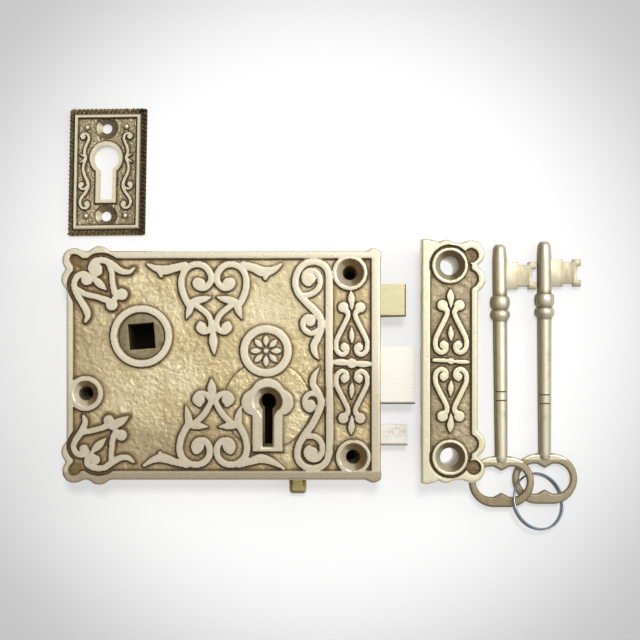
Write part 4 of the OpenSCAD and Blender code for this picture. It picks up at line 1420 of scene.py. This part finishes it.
@dataclass
class KeepBox(CastFront):
    """The keep: a cast front with lobes on its far side, over an open box."""

    low: Spot = (65.0, -36.7)
    high: Spot = (81.3, 39.3)
    box_x: float = 79.5
    middle: float = 1.3
    screws: tuple[Spot, ...] = ((72.4, 32.0), (72.4, -29.4))
    boss_r: float = 5.95
    sink_r: float = 4.85
    hole_r: float = 3.0
    lip: float = 1.8
    lip_over: float = 1.2
    far_lobes: tuple[Spot, ...] = ((2.0, 3.4), (1.7, 11.7))
    far_lobe_r: float = 4.2
    near_lobes: tuple[Place, ...] = ((1.8, 1.1, 2.0), (6.1, 1.9, 2.9))
    pocket_x: Spot = (79.2, 80.0)
    pocket_up: float = 33.9
    pocket_r: float = 2.1
    panel_x: Spot = (66.3, 79.15)
    panel_half: float = 31.0
    groove: float = 0.45
    hollow: Place = (78.5, 26.4, 2.9)  # place across, rise and radius
    walls: tuple[float, ...] = (1.6, 1.6, 1.6, 1.6)
    windows: tuple[Window, ...] = (
        ((63.0, -13.5, -1.0), (67.0, 27.3, 16.6)), ((63.0, -27.3, -1.0), (67.0, -18.4, 16.6)))
    box_top: float = 15.5
    hole_floor: float = 0.1
    margin: Spot = (2.2, 1.8)
    far_margin: float = 3.0
    cell: float = 0.26
    scrolls: Ornament = field(init=False)

    def __post_init__(self) -> None:
        """Lay out the ornament."""
        self.scrolls = Ornament(KEEP_SHEET, lyres(1.0, 201, 665, 0.62), 0.26)

    def face(self, p: Array) -> Array:
        """Distance to the lobed face."""
        d = slab(p, self.low, self.high, 0.4)
        for sign in (1, -1):
            edge = self.middle + sign * (self.high[1] - self.middle)
            for across, up in self.far_lobes:
                lobe = disc(p, (self.high[0] - across, edge - sign * up), self.far_lobe_r)
                d = meld(d, lobe, self.lobe_fillet)
            for across, up, r in self.near_lobes:
                d = meld(d, disc(p, (self.low[0] + across, edge - sign * up), r), self.lobe_fillet)
        return d

    def pockets(self, p: Array) -> Array:
        """Distance to the hollows in the lobes of the far side."""
        best = np.full(len(p), FAR)
        for sign, across in zip((1, -1), self.pocket_x):
            best = np.minimum(best, disc(p, (across, self.middle + sign * self.pocket_up), self.pocket_r))
        return best

    def outline(self, p: Array) -> Array:
        """Distance to the front's outline with the lip along its near side."""
        reach = (self.high[1] - self.low[1]) / 2 + self.lip_over
        lip = slab(p, (self.low[0] - self.lip, self.middle - reach), (self.low[0] + 0.8, self.middle + reach), 0.3)
        return meld(self.face(p), lip, 1.4)

    def domain(self, p: Array) -> Array:
        """Distance to the metal of the front."""
        holes = np.minimum(*(disc(p, spot, self.hole_r) for spot in self.screws))
        return np.maximum(self.outline(p), -holes)

    def panel(self, p: Array) -> Array:
        """Distance to the sunk panel with its side hollows."""
        near, far = self.panel_x
        d = slab(p, (near, self.middle - self.panel_half), (far, self.middle + self.panel_half))
        across, up, radius = self.hollow
        for sign, spot in zip((1, -1), self.screws):
            d = np.minimum(d, disc(p, spot, self.boss_r + self.groove))
            d = meld(d, disc(p, (across, self.middle + sign * up), radius), 0.5)
        return np.minimum(d, self.pockets(p))

    def parts(self, p: Array) -> dict[str, Array]:
        """Distances to each kind of raised work."""
        boss = np.minimum(*(disc(p, spot, self.boss_r) for spot in self.screws))
        return {"scroll": self.scrolls.distance(p), "rim": -self.panel(p), "boss": boss}

    def surface(self, p: Array) -> dict[str, Array]:
        """Heights and painted values of the front."""
        part = self.parts(p)
        full = self.top - self.ground
        h = self.raised(part["scroll"], full * self.scroll_share, self.draft)
        for name in ("rim", "boss"):
            h = np.maximum(h, self.raised(part[name], full, self.draft))
        foot = np.min(list(part.values()), axis=0)
        z = self.ground + h + self.casting(p, foot)
        z = z - self.rounding(self.outline(p))
        relief = np.clip(h / full, 0.0, 1.0)
        shade = np.where(relief > 0.5, 0.0, np.maximum(0.05, 0.95 * ease(0.3, -0.5, self.pockets(p))))
        # Each screw sink is painted with a highlight on its lower left and shade on the other side
        for spot in self.screws:
            d = disc(p, spot, self.sink_r)
            way = self.lit(p, spot)
            z = np.where(d < 0.0, np.minimum(z, self.top + d), z)
            relief = np.where(d < 0.0, 0.35 + 0.4 * ease(-0.2, 0.9, way), relief)
            shade = np.where(d < 0.0, 0.15 + 0.4 * ease(0.4, -0.8, way), shade)
        return {"z": z, "foot": foot, "relief": relief, "shade": shade}

    def build(self, cast: Material) -> None:
        """Make the front and the box behind it.

        Args:
            cast: the finish of cast brass.
        """
        cutter = ReliefCutter((self.low[0] - self.margin[0], self.low[1] - self.margin[1]),
                              (self.high[0] + self.far_margin, self.high[1] + self.margin[1]),
                              self.cell, self.domain, self.surface, (0.0, -self.draft))
        sheet = cutter.build()
        self.settle_shadow_and_channels(sheet)
        self.hang(sheet, {}, self.low, (self.box_x, self.high[1]), self.box_top, self.hole_floor)
        front = Workshop.from_sheet("keep_front", sheet)
        Workshop.send(front, Body.KEEP, Slot.CAST, cast, "keep")
        high = (self.box_x, self.high[1], self.box_top)
        box = self.back_box("keep_walls", self.low, high, self.walls, self.windows)
        Workshop.send(box, Body.KEEP, Slot.CAST, cast, "keep")


@dataclass
class Escutcheon:
    """The dark keyhole escutcheon with its rope edge."""

    centre: Spot = (-39.62, 64.4)
    turn_level: float = 0.7
    turn_upright: float = -1.06
    half: Spot = (12.8, 21.1)
    frame_half: Spot = (11.15, 19.2)
    frame_w: float = 1.5
    top: float = 4.0
    panel_z: float = 2.8
    keyhole: Spot = (-0.26, 4.45)
    keyhole_r: float = 4.3
    keyhole_border: float = 1.45
    slot_half: float = 2.2
    slot_l: float = 13.85
    dish_r: float = 3.6
    screw_r: float = 1.65
    draft: float = 0.3
    studs: tuple[Spot, ...] = ((256, 310), (678, 305), (258, 1262), (681, 1262))
    screws: tuple[Spot, ...] = ((-0.4, 14.5), (-0.2, -14.7))
    rope_inset: Spot = (0.75, 0.8)
    rope_z: float = 1.75
    rope_pitch: float = 1.38
    rope_bead: Place = (0.46, 1.02, 0.8)
    rope_slant: float = -30.0
    stud_z: float = 3.4
    stud_bead: Place = (0.85, 0.85, 0.75)
    cell: float = 0.2
    scrolls: Ornament = field(init=False)

    def __post_init__(self) -> None:
        """Lay out the ornament."""
        side = [s.moved(shift=(-12.0, 0.0)) for s in PLATE_SIDE]
        strokes = [*side, *(s.moved(flip_across=466) for s in side)]
        strokes += [ball(*spot, 20) for spot in self.studs]
        self.scrolls = Ornament(PLATE_SHEET, strokes, 0.12)

    def hole(self, p: Array, grow_by: float) -> Array:
        """Distance to the keyhole, grown by a border."""
        x, y = self.keyhole
        d = disc(p, self.keyhole, self.keyhole_r + grow_by)
        wide = self.slot_half + grow_by
        return np.minimum(d, slab(p, (x - wide, y - self.slot_l - grow_by * 0.9), (x + wide, y)))

    def domain(self, p: Array) -> Array:
        """Distance to the metal of the plate."""
        holes = np.minimum(self.hole(p, 0.0), np.minimum(*(disc(p, s, self.screw_r) for s in self.screws)))
        return np.maximum(slab(p, (-self.half[0], -self.half[1]), self.half, 0.8), -holes)

    def rim(self, p: Array) -> Array:
        """Distance to the outline of the raised frame."""
        return slab(p, (-self.frame_half[0], -self.frame_half[1]), self.frame_half, 0.15)

    def parts(self, p: Array) -> dict[str, Array]:
        """Distances to each kind of raised work."""
        edge = self.rim(p)
        border = np.maximum(edge, -edge - self.frame_w)
        return {"scroll": self.scrolls.distance(p), "frame": border, "hole": self.hole(p, self.keyhole_border)}

    def foot(self, p: Array) -> Array:
        """Distance to the nearest raised work."""
        return np.min(list(self.parts(p).values()), axis=0)

    def surface(self, p: Array) -> dict[str, Array]:
        """Heights and painted values of the plate."""
        part = self.parts(p)
        full = self.top - self.panel_z
        edge = self.rim(p)
        base = np.where(edge > -0.4, self.panel_z - 0.5 - 0.55 * np.clip(edge, 0.0, 2.0), self.panel_z)
        h = 0.75 * full * ease(0.0, self.draft, -part["scroll"])
        for name in ("frame", "hole"):
            h = np.maximum(h, full * ease(0.0, self.draft, -part[name]))
        z = np.maximum(base + h * (edge <= 0.0), 1.2)
        foot = np.min(list(part.values()), axis=0)
        relief = np.clip(h / full, 0.0, 1.0)
        z = z + 0.13 * crinkle(p, 0.5, 5) * ease(0.05, 0.4, foot)
        # Painted shade: darker towards the right side, most outside the frame
        shade = 0.14 * ease(2.0, 5.0, p[:, 0])
        shade = np.where(edge > -0.2, 0.9 * ease(8.0, 11.0, p[:, 0]), shade)
        # Each screw dish is painted with a highlight on its left and shade elsewhere
        for spot in self.screws:
            d = disc(p, spot, self.dish_r)
            dish = (d < 0.0) & (part["frame"] > 0.0) & (part["hole"] > 0.0)
            painted_highlight = ease(0.72, 0.92, CastFront.lit(p, spot, 0.0)) * ease(0.1, 0.5, -d)
            z = np.where(dish, np.minimum(z, self.panel_z + 0.2 + 0.85 * d), z)
            relief = np.where(dish, 0.2 + 0.8 * painted_highlight, relief)
            shade = np.where(dish, 0.45 * (1.0 - painted_highlight), shade)
            foot = np.where(foot > 0.0, np.minimum(foot, np.abs(d) + 0.12), foot)
        return {"z": z, "foot": foot, "relief": relief, "shade": shade}

    def settle(self, mesh: bpy.types.Mesh) -> None:
        """Lean a mesh as the plate leans and carry it to the plate's place."""
        level, upright = math.radians(self.turn_level), math.radians(self.turn_upright)
        lean = Matrix(((math.cos(level), -math.sin(upright), 0.0, self.centre[0] * MM),
                       (math.sin(level), math.cos(upright), 0.0, self.centre[1] * MM),
                       (0.0, 0.0, 1.0, 0.0), (0.0, 0.0, 0.0, 1.0)))
        mesh.transform(lean)

    def build(self, dark: Material, rope: Material) -> None:
        """Make the plate, its rope edge and its studs.

        Args:
            dark: the finish of the plate.
            rope: the finish of the rope edge.
        """
        reach = (self.half[0] + 0.1, self.half[1] + 0.1)
        cutter = ReliefCutter((-reach[0], -reach[1]), reach, self.cell, self.domain, self.surface, (0.0, -self.draft))
        sheet = cutter.build()
        # Painted shadow side of the raised work
        sheet.values["lee"] = CastFront.lee(self.foot, sheet.verts[:, :2])
        for loop in list(sheet.loops):
            xy = sheet.verts[loop, :2]
            sheet.ring(loop, xy, 0.0)
        plate = Workshop.from_sheet("escutcheon_plate", sheet)
        self.settle(plate.data)
        Workshop.send(plate, Body.ESCUTCHEON, Slot.DARK, dark, "escutcheon")
        path = bpy.data.meshes.new("rope_path")
        x, y = self.half[0] - self.rope_inset[0], self.half[1] - self.rope_inset[1]
        path.from_pydata([(a * MM, b * MM, self.rope_z * MM) for a, b in ((-x, -y), (x, -y), (x, y), (-x, y))],
                         [(0, 1), (1, 2), (2, 3), (3, 0)], [])
        mesh = grow("escutcheon_rope", path, BeadTree(True),
                    {"Pitch": self.rope_pitch * MM, "Bead": [c * MM for c in self.rope_bead],
                     "Slant": math.radians(self.rope_slant), "Finish": rope})
        self.settle(mesh)
        rope_piece = Workshop.from_mesh("escutcheon_rope", mesh)
        beads = np.array([v.co[:2] for v in mesh.vertices]) / MM - np.array(self.centre)
        # Painted shade: the rope darkens along the right side and a little along the bottom
        grime = np.maximum(0.8 * ease(10.2, 11.2, beads[:, 0]), 0.25 * ease(-19.0, -20.0, beads[:, 1]))
        rope_piece.data.attributes.new("grime", "FLOAT", "POINT").data.foreach_set("value", grime)
        Workshop.send(rope_piece, Body.ESCUTCHEON, Slot.DARK, rope)
        spots = bpy.data.meshes.new("stud_spots")
        rows = [PLATE_SHEET.place(np.array([[*s, 0.0]], float))[0] for s in self.studs]
        spots.from_pydata([(r[0] * MM, r[1] * MM, self.stud_z * MM) for r in rows], [], [])
        mesh = grow("escutcheon_studs", spots, BeadTree(False),
                    {"Bead": [c * MM for c in self.stud_bead], "Finish": dark})
        self.settle(mesh)
        studs = Workshop.from_mesh("escutcheon_studs", mesh)
        Workshop.even(studs, foot=-1.0, relief=1.0, lee=0.4)
        Workshop.send(studs, Body.ESCUTCHEON, Slot.DARK, dark)


@dataclass
class Key:
    """A cast key: a pierced bow, a turned shank with collars and a notched bit."""

    name: str
    node: str
    body: Body
    at: Place
    tilt: float
    bow_darkness: float
    scribed: tuple[float, ...]
    bow: Spot = (21.5, 16.7)
    hole: Spot = (16.8, 9.9)
    cusp: float = 1.4
    cusp_half: float = 2.6
    cusp_reach: float = 3.4
    thick: float = 2.0
    bow_round: float = 0.75
    bow_cell: float = 0.24
    bit_half: float = 1.15
    bit_round: float = 0.2
    necks: tuple[float, ...] = (53.3, 56.95, 61.5)

    @staticmethod
    def stadium(p: Array, size: Sequence[float]) -> Array:
        """Distance to an oval with round ends."""
        q = p.copy()
        half = (size[0] - size[1]) / 2
        q[:, 0] -= np.clip(q[:, 0], -half, half)
        return np.hypot(q[:, 0], q[:, 1]) - size[1] / 2

    def bow_shape(self, p: Array) -> Array:
        """Distance to the bow's metal."""
        outer = self.stadium(p, self.bow)
        inner = -self.stadium(p, self.hole)
        for sign in (1, -1):
            rise = self.hole[1] / 2 - sign * p[:, 1]
            tooth = rise - self.cusp * (1.0 - np.abs(p[:, 0]) / self.cusp_half)
            inner = np.minimum(inner, 0.8 * np.maximum(tooth, np.abs(p[:, 0]) - self.cusp_reach))
        return np.maximum(outer, inner)

    def bow_mesh(self) -> Sheet:
        """Make the bow, rounded towards its edges, as a closed shell."""
        def surface(p: Array) -> dict[str, Array]:
            """Height of the bow's upper half."""
            d = self.bow_shape(p)
            t = 1.0 - np.clip(-d / self.bow_round, 0.0, 1.0)
            return {"z": 0.5 * self.thick * np.sqrt(np.maximum(1.0 - 0.9 * t ** 2.6, 0.0)), "foot": d}

        reach = (self.bow[0] / 2 + 0.3, self.bow[1] / 2 + 0.3)
        sheet = ReliefCutter((-reach[0], -reach[1]), reach, self.bow_cell, self.bow_shape, surface,
                             (-self.bow_round,)).build()
        sheet.values = {}
        count = len(sheet.verts)
        under = sheet.verts * np.array([1.0, 1.0, -1.0])
        faces = [tuple(count + i for i in reversed(row)) for row in sheet.faces]
        sheet.verts = np.vstack([sheet.verts, under])
        sheet.faces += faces
        for loop in sheet.loops:
            for a, b in zip(loop, np.roll(loop, -1)):
                sheet.faces.append((int(b), int(a), int(a + count), int(b + count)))
        return sheet

    @staticmethod
    def turned(profile: Sequence[Spot], around: int = 40) -> Sheet:
        """Turn a profile of (along, radius) about the shank's line.

        Args:
            profile: the rows, from the bow to the tip.
            around: faces around.

        Returns:
            The closed surface.
        """
        verts, faces = [], []
        for y, r in profile:
            for i in range(around):
                a = 2 * math.pi * i / around
                verts.append((r * math.cos(a), y, r * math.sin(a)))
        for row in range(len(profile) - 1):
            for i in range(around):
                j = (i + 1) % around
                a, b = row * around + i, row * around + j
                faces.append((b, a, a + around, b + around))
        last = (len(profile) - 1) * around
        faces.append(tuple(range(around)))
        faces.append(tuple(last + i for i in reversed(range(around))))
        return Sheet(np.array(verts, float), faces, [], {})

    def shank_profile(self) -> list[Spot]:
        """Rows of the shank: neck, two scribed lines, two collars and the rounded tip."""
        rows = [(6.5, 1.75), (7.2, 2.0), (8.0, 2.1), (8.4, 2.1)]
        groove = ((-0.75, 2.25), (-0.25, 2.26), (-0.1, 2.12), (0.1, 2.12), (0.25, 2.26), (0.75, 2.26))
        for line in self.scribed:
            rows += [(line + along, radius) for along, radius in groove]
        rows += [(52.4, 2.37), (53.0, 2.38), (53.85, 2.75)]
        for low, high in ((53.85, 56.45), (57.45, 61.05)):
            for step in range(9):
                t = step / 8
                bulge = math.sin(math.pi * (0.08 + 0.84 * t)) ** 0.3
                rows.append((low + t * (high - low), 2.3 + 1.0 * bulge))
            rows.append((high + 0.25, 2.5))
        rows += [(61.7, 2.36), (63.0, 2.4), (73.0, 2.4), (73.6, 2.39), (76.4, 2.2), (76.8, 2.16)]
        for step in range(1, 7):
            a = math.radians(90 * step / 6)
            rows.append((76.9 + 1.75 * math.sin(a), 2.14 * (0.3 + 0.7 * math.cos(a))))
        return rows

    def bit_mesh(self) -> Sheet:
        """Make the bit with its notches, rounded along its edges."""
        outline = ((0.6, 63.65), (6.0, 63.65), (6.0, 64.65), (9.3, 64.65), (9.3, 63.65), (12.0, 63.65), (12.0, 65.85),
                   (10.6, 65.85), (10.6, 70.45), (12.0, 70.45), (12.0, 72.65), (9.3, 72.65), (9.3, 71.65), (6.0, 71.65),
                   (6.0, 72.65), (0.6, 72.65))
        bm = bmesh.new()
        bm.faces.new([bm.verts.new((x, y, -self.bit_half)) for x, y in outline])
        out = bmesh.ops.extrude_face_region(bm, geom=bm.faces[:])
        raised = [g for g in out["geom"] if isinstance(g, bmesh.types.BMVert)]
        bmesh.ops.translate(bm, verts=raised, vec=(0, 0, 2 * self.bit_half))
        bmesh.ops.recalc_face_normals(bm, faces=bm.faces)
        bmesh.ops.bevel(bm, geom=bm.edges[:], offset=self.bit_round, offset_type="OFFSET", segments=2,
                        profile=0.5, affect="EDGES", clamp_overlap=True)
        bm.verts.index_update()
        faces = [tuple(v.index for v in f.verts) for f in bm.faces]
        sheet = Sheet(np.array([v.co[:] for v in bm.verts]), faces, [], {})
        bm.free()
        return sheet

    def build(self, finish: Material) -> None:
        """Make the key and lay it in its place.

        Args:
            finish: the finish of the key.
        """
        verts, faces = np.zeros((0, 3)), []
        for sheet in (self.bow_mesh(), self.turned(self.shank_profile()), self.bit_mesh()):
            faces += [tuple(i + len(verts) for i in row) for row in sheet.faces]
            verts = np.vstack([verts, sheet.verts])
        along, wide = verts[:, 1], np.hypot(verts[:, 0], verts[:, 2])
        # Painted shade and dark reflection along the shank's sides, more on the left; the bow darkens towards its far
        # end, the bit is darkened, and the scribed lines and necks are dark
        side = np.abs(verts[:, 0]) / np.maximum(wide, 0.01)
        grime = 0.85 * ease(0.84, 0.97, side)
        grime = np.maximum(grime, 0.55 * ease(0.4, 0.75, side) * (verts[:, 0] < 0.0)) * (along > 8.0) * (wide < 3.4)
        bow = 0.58 + (self.bow_darkness - 0.58) * ease(2.0, -6.0, along)
        grime = np.where(along < 6.3, bow, np.where((along > 63.5) & (wide > 2.6), 0.45, grime))
        for line in self.scribed:
            grime = np.maximum(grime, 0.9 * (np.abs(along - line) < 0.2))
        for neck in self.necks:
            grime = np.maximum(grime, 0.6 * (np.abs(along - neck) < 0.4) * (wide < 2.9))
        piece = Workshop.from_sheet(self.name, Sheet(verts, faces, [], {"grime": grime}))
        lean = Matrix.Rotation(math.radians(self.tilt), 4, "X")
        piece.data.transform(Matrix.Translation([c * MM for c in self.at]) @ lean)
        Workshop.send(piece, self.body, Slot.POLISHED, finish, self.node)


@dataclass
class WoundPieces:
    """The split ring and the latch spring, both wound from wire."""

    ring_at: Place = (103.08, -44.88, 5.51)
    ring_turn: float = 35.5
    ring_tilt: float = 28.5
    ring_start: float = 155.5
    ring_r: float = 9.26
    ring_wire: float = 0.35
    ring_turns: float = 1.75
    ring_pitch: float = 1.13
    spring_r: float = 2.2
    spring_wire: float = 0.4
    spring_turns: float = 9.0

    def build(self, steel: Material) -> None:
        """Wind both pieces.

        Args:
            steel: their finish.
        """
        tree = WireTree()
        length = self.ring_pitch * self.ring_turns
        mesh = grow("split_ring_wire", bpy.data.meshes.new("wire_seed"), tree,
                    {"Turns": self.ring_turns, "Coil Radius": self.ring_r * MM, "Length": length * MM,
                     "Wire Radius": self.ring_wire * MM, "Finish": steel})
        turn, tilt, start = (Matrix.Rotation(math.radians(angle), 4, axis) for angle, axis in (
            (self.ring_turn, "Z"), (self.ring_tilt, "Y"), (self.ring_start, "Z")))
        drop = Matrix.Translation((0, 0, -length / 2 * MM))
        mesh.transform(Matrix.Translation([c * MM for c in self.ring_at]) @ turn @ tilt @ start @ drop)
        ring = Workshop.from_mesh("split_ring_wire", mesh, 60.0)
        Workshop.send(ring, Body.RING, Slot.STEEL, steel, "split_ring")
        low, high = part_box("latch_spring")
        length = (high.x - low.x) - 2 * self.spring_wire * MM
        mesh = grow("latch_coil", bpy.data.meshes.new("coil_seed"), tree,
                    {"Turns": self.spring_turns, "Coil Radius": self.spring_r * MM, "Length": length,
                     "Wire Radius": self.spring_wire * MM, "Finish": steel})
        level = Matrix.Rotation(math.radians(90), 4, "Y")
        mesh.transform(Matrix.Translation((low.x + self.spring_wire * MM, 0.0282, 0.009)) @ level)
        coil = Workshop.from_mesh("latch_coil", mesh, 60.0)
        Workshop.send(coil, Body.LOCK, Slot.STEEL, steel, "latch_spring")
        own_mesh(coil)


@dataclass
class Fittings:
    """The bolts, the knob, the follower and what stays inside the case."""

    def build(self, pale: Material, bright: Material, plain: Material,
              hub: Material, steel: Material) -> None:
        """Round and dress the moving pieces, and dress the CAD nodes that stay.

        Args:
            pale: finish of the dead bolt and the snib.
            bright: finish of the latch.
            plain: finish of the plain brass pieces.
            hub: finish of the follower.
            steel: finish of the springs and screws.
        """
        # The number before the finish is the share of painted shade on faces that look down the picture
        rows = (("latch_bolt", "latch_head", Body.LATCH, 0.6, Rounding.END_AND_LOWER, 0.95, bright),
                ("dead_bolt", "dead_bolt_bar", Body.DEAD_BOLT, 0.8, Rounding.LOWER, 1.0, pale),
                ("snib_bolt", "snib_bar", Body.SNIB, 0.9, Rounding.LOWER, 0.5, pale),
                ("snib_knob", "snib_thumb", Body.SNIB, 1.25, Rounding.BLOCK, 0.4, plain),
                ("follower", "follower_boss", Body.FOLLOWER, 0.2, Rounding.EVERY, 0.6, hub))
        for node, name, body, radius, which, grime, finish in rows:
            piece = Workshop.softened(node, name, radius, which)
            Workshop.shade_lower_faces(piece, grime)
            Workshop.send(piece, body, Slot.PLAIN, finish, node)
        for node in ("back_plate", "ward_ring", "latch_spring_post", "latch_guide_pin", "dead_bolt_guide_pin",
                     "dead_bolt_spring_post", "snib_spring_post"):
            Workshop.dress_node(node, plain)
        for node in ("back_plate_screws", "dead_bolt_spring", "snib_spring"):
            Workshop.dress_node(node, steel)


@dataclass(frozen=True)
class Lamp:
    """A soft square light: its place and size in metres, its power, and which surfaces show it."""

    name: str
    place: Place
    size: float
    power: float
    on_gloss: bool = True
    on_dull: bool = True


@dataclass
class Studio:
    """Floor, world, lights and camera."""

    eye: Place = (23.8, 0.16, 450.0)
    focal_px: float = 1345.9
    image_px: float = 640.0
    centre_px: Spot = (298.0, 365.0)
    sensor: float = 36.0
    floor_half: float = 3.0
    floor_z: float = -0.0001
    paper_middle: Spot = (31.2, 15.2)
    paper_fade: Spot = (0.072, 0.152)
    paper_near: str = "F4F4F4"
    paper_far: str = "C2C2C2"
    paper_glow: float = 0.55
    covered_half: Spot = (0.0485, 0.0355)
    under_case_shade: str = "120C08"
    bright_way: Place = (0.5, 0.25, 0.85)
    bright_spots: tuple[Spot, ...] = ((72.4, 32.0), (72.4, -29.4))
    lights: tuple[Lamp, ...] = (Lamp("key_light", (0.3, 0.3, 0.7), 0.3, 2.2, on_dull=False),
                                Lamp("side_light", (0.55, 0.2, 0.5), 0.3, 0.7),
                                Lamp("paper_light", (0.045, 0.19, 0.84), 0.12, 3.6, on_gloss=False))
    target: Place = (0.03, 0.0, 0.0)

    def floor(self) -> None:
        """Lay the pale floor with its painted pool of light, painted shade under the case and glowing spots under the
        keep.
        """
        mesh = bpy.data.meshes.new("floor")
        corners = [(x * self.floor_half, y * self.floor_half, self.floor_z)
                   for x, y in ((-1, -1), (1, -1), (1, 1), (-1, 1))]
        mesh.from_pydata(corners, [], [(0, 1, 2, 3)])
        floor = bpy.data.objects.new("floor", mesh)
        bpy.context.scene.collection.objects.link(floor)
        s = Shader("floor_paper")
        split = s.tree.nodes.new("ShaderNodeSeparateXYZ")
        s.put(split.inputs["Vector"], s.where)
        # Painted shade: the floor under the case is near black and does not glow, so the case's holes look dark
        covered = s.sum("MULTIPLY", *(s.sum("LESS_THAN", s.sum("ABSOLUTE", split.outputs[axis], 0.0), half)
                                      for axis, half in zip("XY", self.covered_half)))
        # Painted light: the paper and its glow fade from the middle to grey far off, a painted pool of light
        paper, gleam = (s.mix(s.span(self.reach(s, self.paper_middle), *self.paper_fade), paint(near),
                              paint(self.paper_far)) for near in (self.paper_near, "FFFFFF"))
        s.set("Base Color", s.mix(covered, paper, paint(self.under_case_shade)))
        s.set("Roughness", 0.85)
        glow = s.tree.nodes.new("ShaderNodeEmission")
        s.put(glow.inputs["Color"], gleam)
        share = s.sum("MULTIPLY", s.sum("SUBTRACT", 1.0, covered), self.paper_glow)
        # Painted light: the floor glows almost fully under the keep's screw holes, so they look white
        for spot in self.bright_spots:
            share = s.sum("MAXIMUM", share, s.span(self.reach(s, spot), 0.003, 0.005, 0.92, 0.0))
        path = s.tree.nodes.new("ShaderNodeLightPath")
        seen = s.sum("MAXIMUM", path.outputs["Is Camera Ray"],
                     s.sum("MAXIMUM", path.outputs["Is Glossy Ray"], path.outputs["Is Transmission Ray"]))
        mix = s.tree.nodes.new("ShaderNodeMixShader")
        s.put(mix.inputs["Fac"], s.sum("MULTIPLY", seen, share))
        s.tree.links.new(s.surface.outputs["BSDF"], mix.inputs[1])
        s.tree.links.new(glow.outputs["Emission"], mix.inputs[2])
        s.tree.links.new(mix.outputs["Shader"], s.out.inputs["Surface"])
        mesh.materials.append(s.material)

    @staticmethod
    def reach(s: Shader, spot: Sequence[float]) -> Socket:
        """Distance in metres of the floor's points from a spot given in millimetres."""
        node = s.tree.nodes.new("ShaderNodeVectorMath")
        node.operation = "DISTANCE"
        s.put(node.inputs[0], s.where)
        node.inputs[1].default_value = (spot[0] * MM, spot[1] * MM, 0.0)
        return node.outputs["Value"]

    def lamps(self) -> None:
        """Hang the soft lights and set the world, bright above to the right and dim around."""
        for row in self.lights:
            lamp = bpy.data.lights.new(row.name, "AREA")
            lamp.size = row.size
            lamp.energy = row.power
            thing = bpy.data.objects.new(row.name, lamp)
            thing.location = row.place
            thing.rotation_euler = self.aim(row.place)
            thing.visible_glossy = row.on_gloss
            thing.visible_diffuse = row.on_dull
            bpy.context.scene.collection.objects.link(thing)
        world = bpy.data.worlds.new("studio")
        world.use_nodes = True
        bpy.context.scene.world = world
        new, link = world.node_tree.nodes.new, world.node_tree.links.new
        back = world.node_tree.nodes["Background"]
        back.inputs["Color"].default_value = (1.0, 1.0, 1.0, 1.0)
        way, side, rise = new("ShaderNodeTexCoord"), new("ShaderNodeVectorMath"), new("ShaderNodeMapRange")
        side.operation = "DOT_PRODUCT"
        side.inputs[1].default_value = Vector(self.bright_way).normalized()
        link(way.outputs["Generated"], side.inputs[0])
        link(side.outputs["Value"], rise.inputs["Value"])
        rise.interpolation_type = "SMOOTHSTEP"
        for name, number in (("From Min", -0.1), ("From Max", 0.9), ("To Min", 0.08), ("To Max", 0.85)):
            rise.inputs[name].default_value = number
        link(rise.outputs["Result"], back.inputs["Strength"])

    def aim(self, place: Sequence[float]) -> Place:
        """Angles that point a lamp at the middle of the set."""
        angles = (Vector(self.target) - Vector(place)).to_track_quat("-Z", "Y").to_euler()
        return (angles.x, angles.y, angles.z)

    def camera(self) -> None:
        """Set the camera straight overhead."""
        data = bpy.data.cameras.new("overhead")
        data.sensor_width = self.sensor
        data.lens = self.sensor * self.focal_px / self.image_px
        data.shift_x = (self.image_px / 2 - self.centre_px[0]) / self.image_px
        data.shift_y = (self.centre_px[1] - self.image_px / 2) / self.image_px
        data.clip_start = 0.01
        camera = bpy.data.objects.new("overhead", data)
        camera.location = [c * MM for c in self.eye]
        bpy.context.scene.collection.objects.link(camera)
        bpy.context.scene.camera = camera

    def build(self) -> None:
        """Set up the whole studio."""
        self.camera()
        self.floor()
        self.lamps()
        bpy.context.scene.view_settings.view_transform = "Standard"


def main() -> None:
    """Build every piece in order."""
    logging.basicConfig(level=logging.INFO, format="%(message)s")
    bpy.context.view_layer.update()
    Studio().build()
    cast = CastFinish("cast_brass_aged", "CCB98B", "DECDA4", "E8DEC8", "DCD2B2", "32220E", "745A36", grain=0.75).build()
    keep = CastFinish("keep_brass_aged", "B4A586", "A29374", "E4DDC0", "D8CFAA", "3A2A14", "6E5A3C", line_width=0.5,
                      grain=0.9).build()
    dark = CastFinish("dark_bronze", "A09070", "B2A280", "E8DEC2", "DACEAA", "1A1208", "40301A", line_width=0.5,
                      halo_width=0.8, grain=0.9, speckle=0.9, speckle_scale=2000.0).build()
    rope = FiledFinish("rope_bronze", "8C7A52", "5E4E30", "2A2012", (3.0, 3.0, 3.0), 0.6, 0.8, 0.4, 0.2).build()
    pale = FiledFinish("pale_filed_brass", "F8F4EA", "F2ECDE", "8A7650", grain=0.06).build()
    bright = FiledFinish("latch_brass", "D7CFA6", "D0C79C", "7C6638", grain=0.04).build()
    plain = FiledFinish("plain_brass", "BEAC76", "AA9866", "6E5A34").build()
    hub = FiledFinish("follower_brass", "9C8E6E", "84765A", "4C3E2A", (4.0, 4.0, 4.0), 0.6, 0.8, 0.4).build()
    polished = FiledFinish("polished_key_brass", "D6D0BA", "CCC4A8", "644A18", (6.0, 2.0, 6.0), 0.35, 0.9, 0.34,
                           0.03).build()
    steel = FiledFinish("ring_steel", "9AA0AA", "7C838E", "4A4F58", (1.0, 1.0, 1.0), 0.3, 0.95, 0.2, 0.05).build()
    LockCase().build(cast)
    KeepBox().build(keep)
    Escutcheon().build(dark, rope)
    Fittings().build(pale, bright, plain, hub, steel)
    Key("left_key_casting", "key_left", Body.LEFT_KEY, (90.75, -38.3, 6.6), -3.0, 0.7, (26.7, 29.6)).build(polished)
    Key("right_key_casting", "key_right", Body.RIGHT_KEY, (105.5, -37.5, 4.0), -0.6, 0.6, (24.9, 27.8)).build(polished)
    WoundPieces().build(steel)


if __name__ == "__main__":
    main()
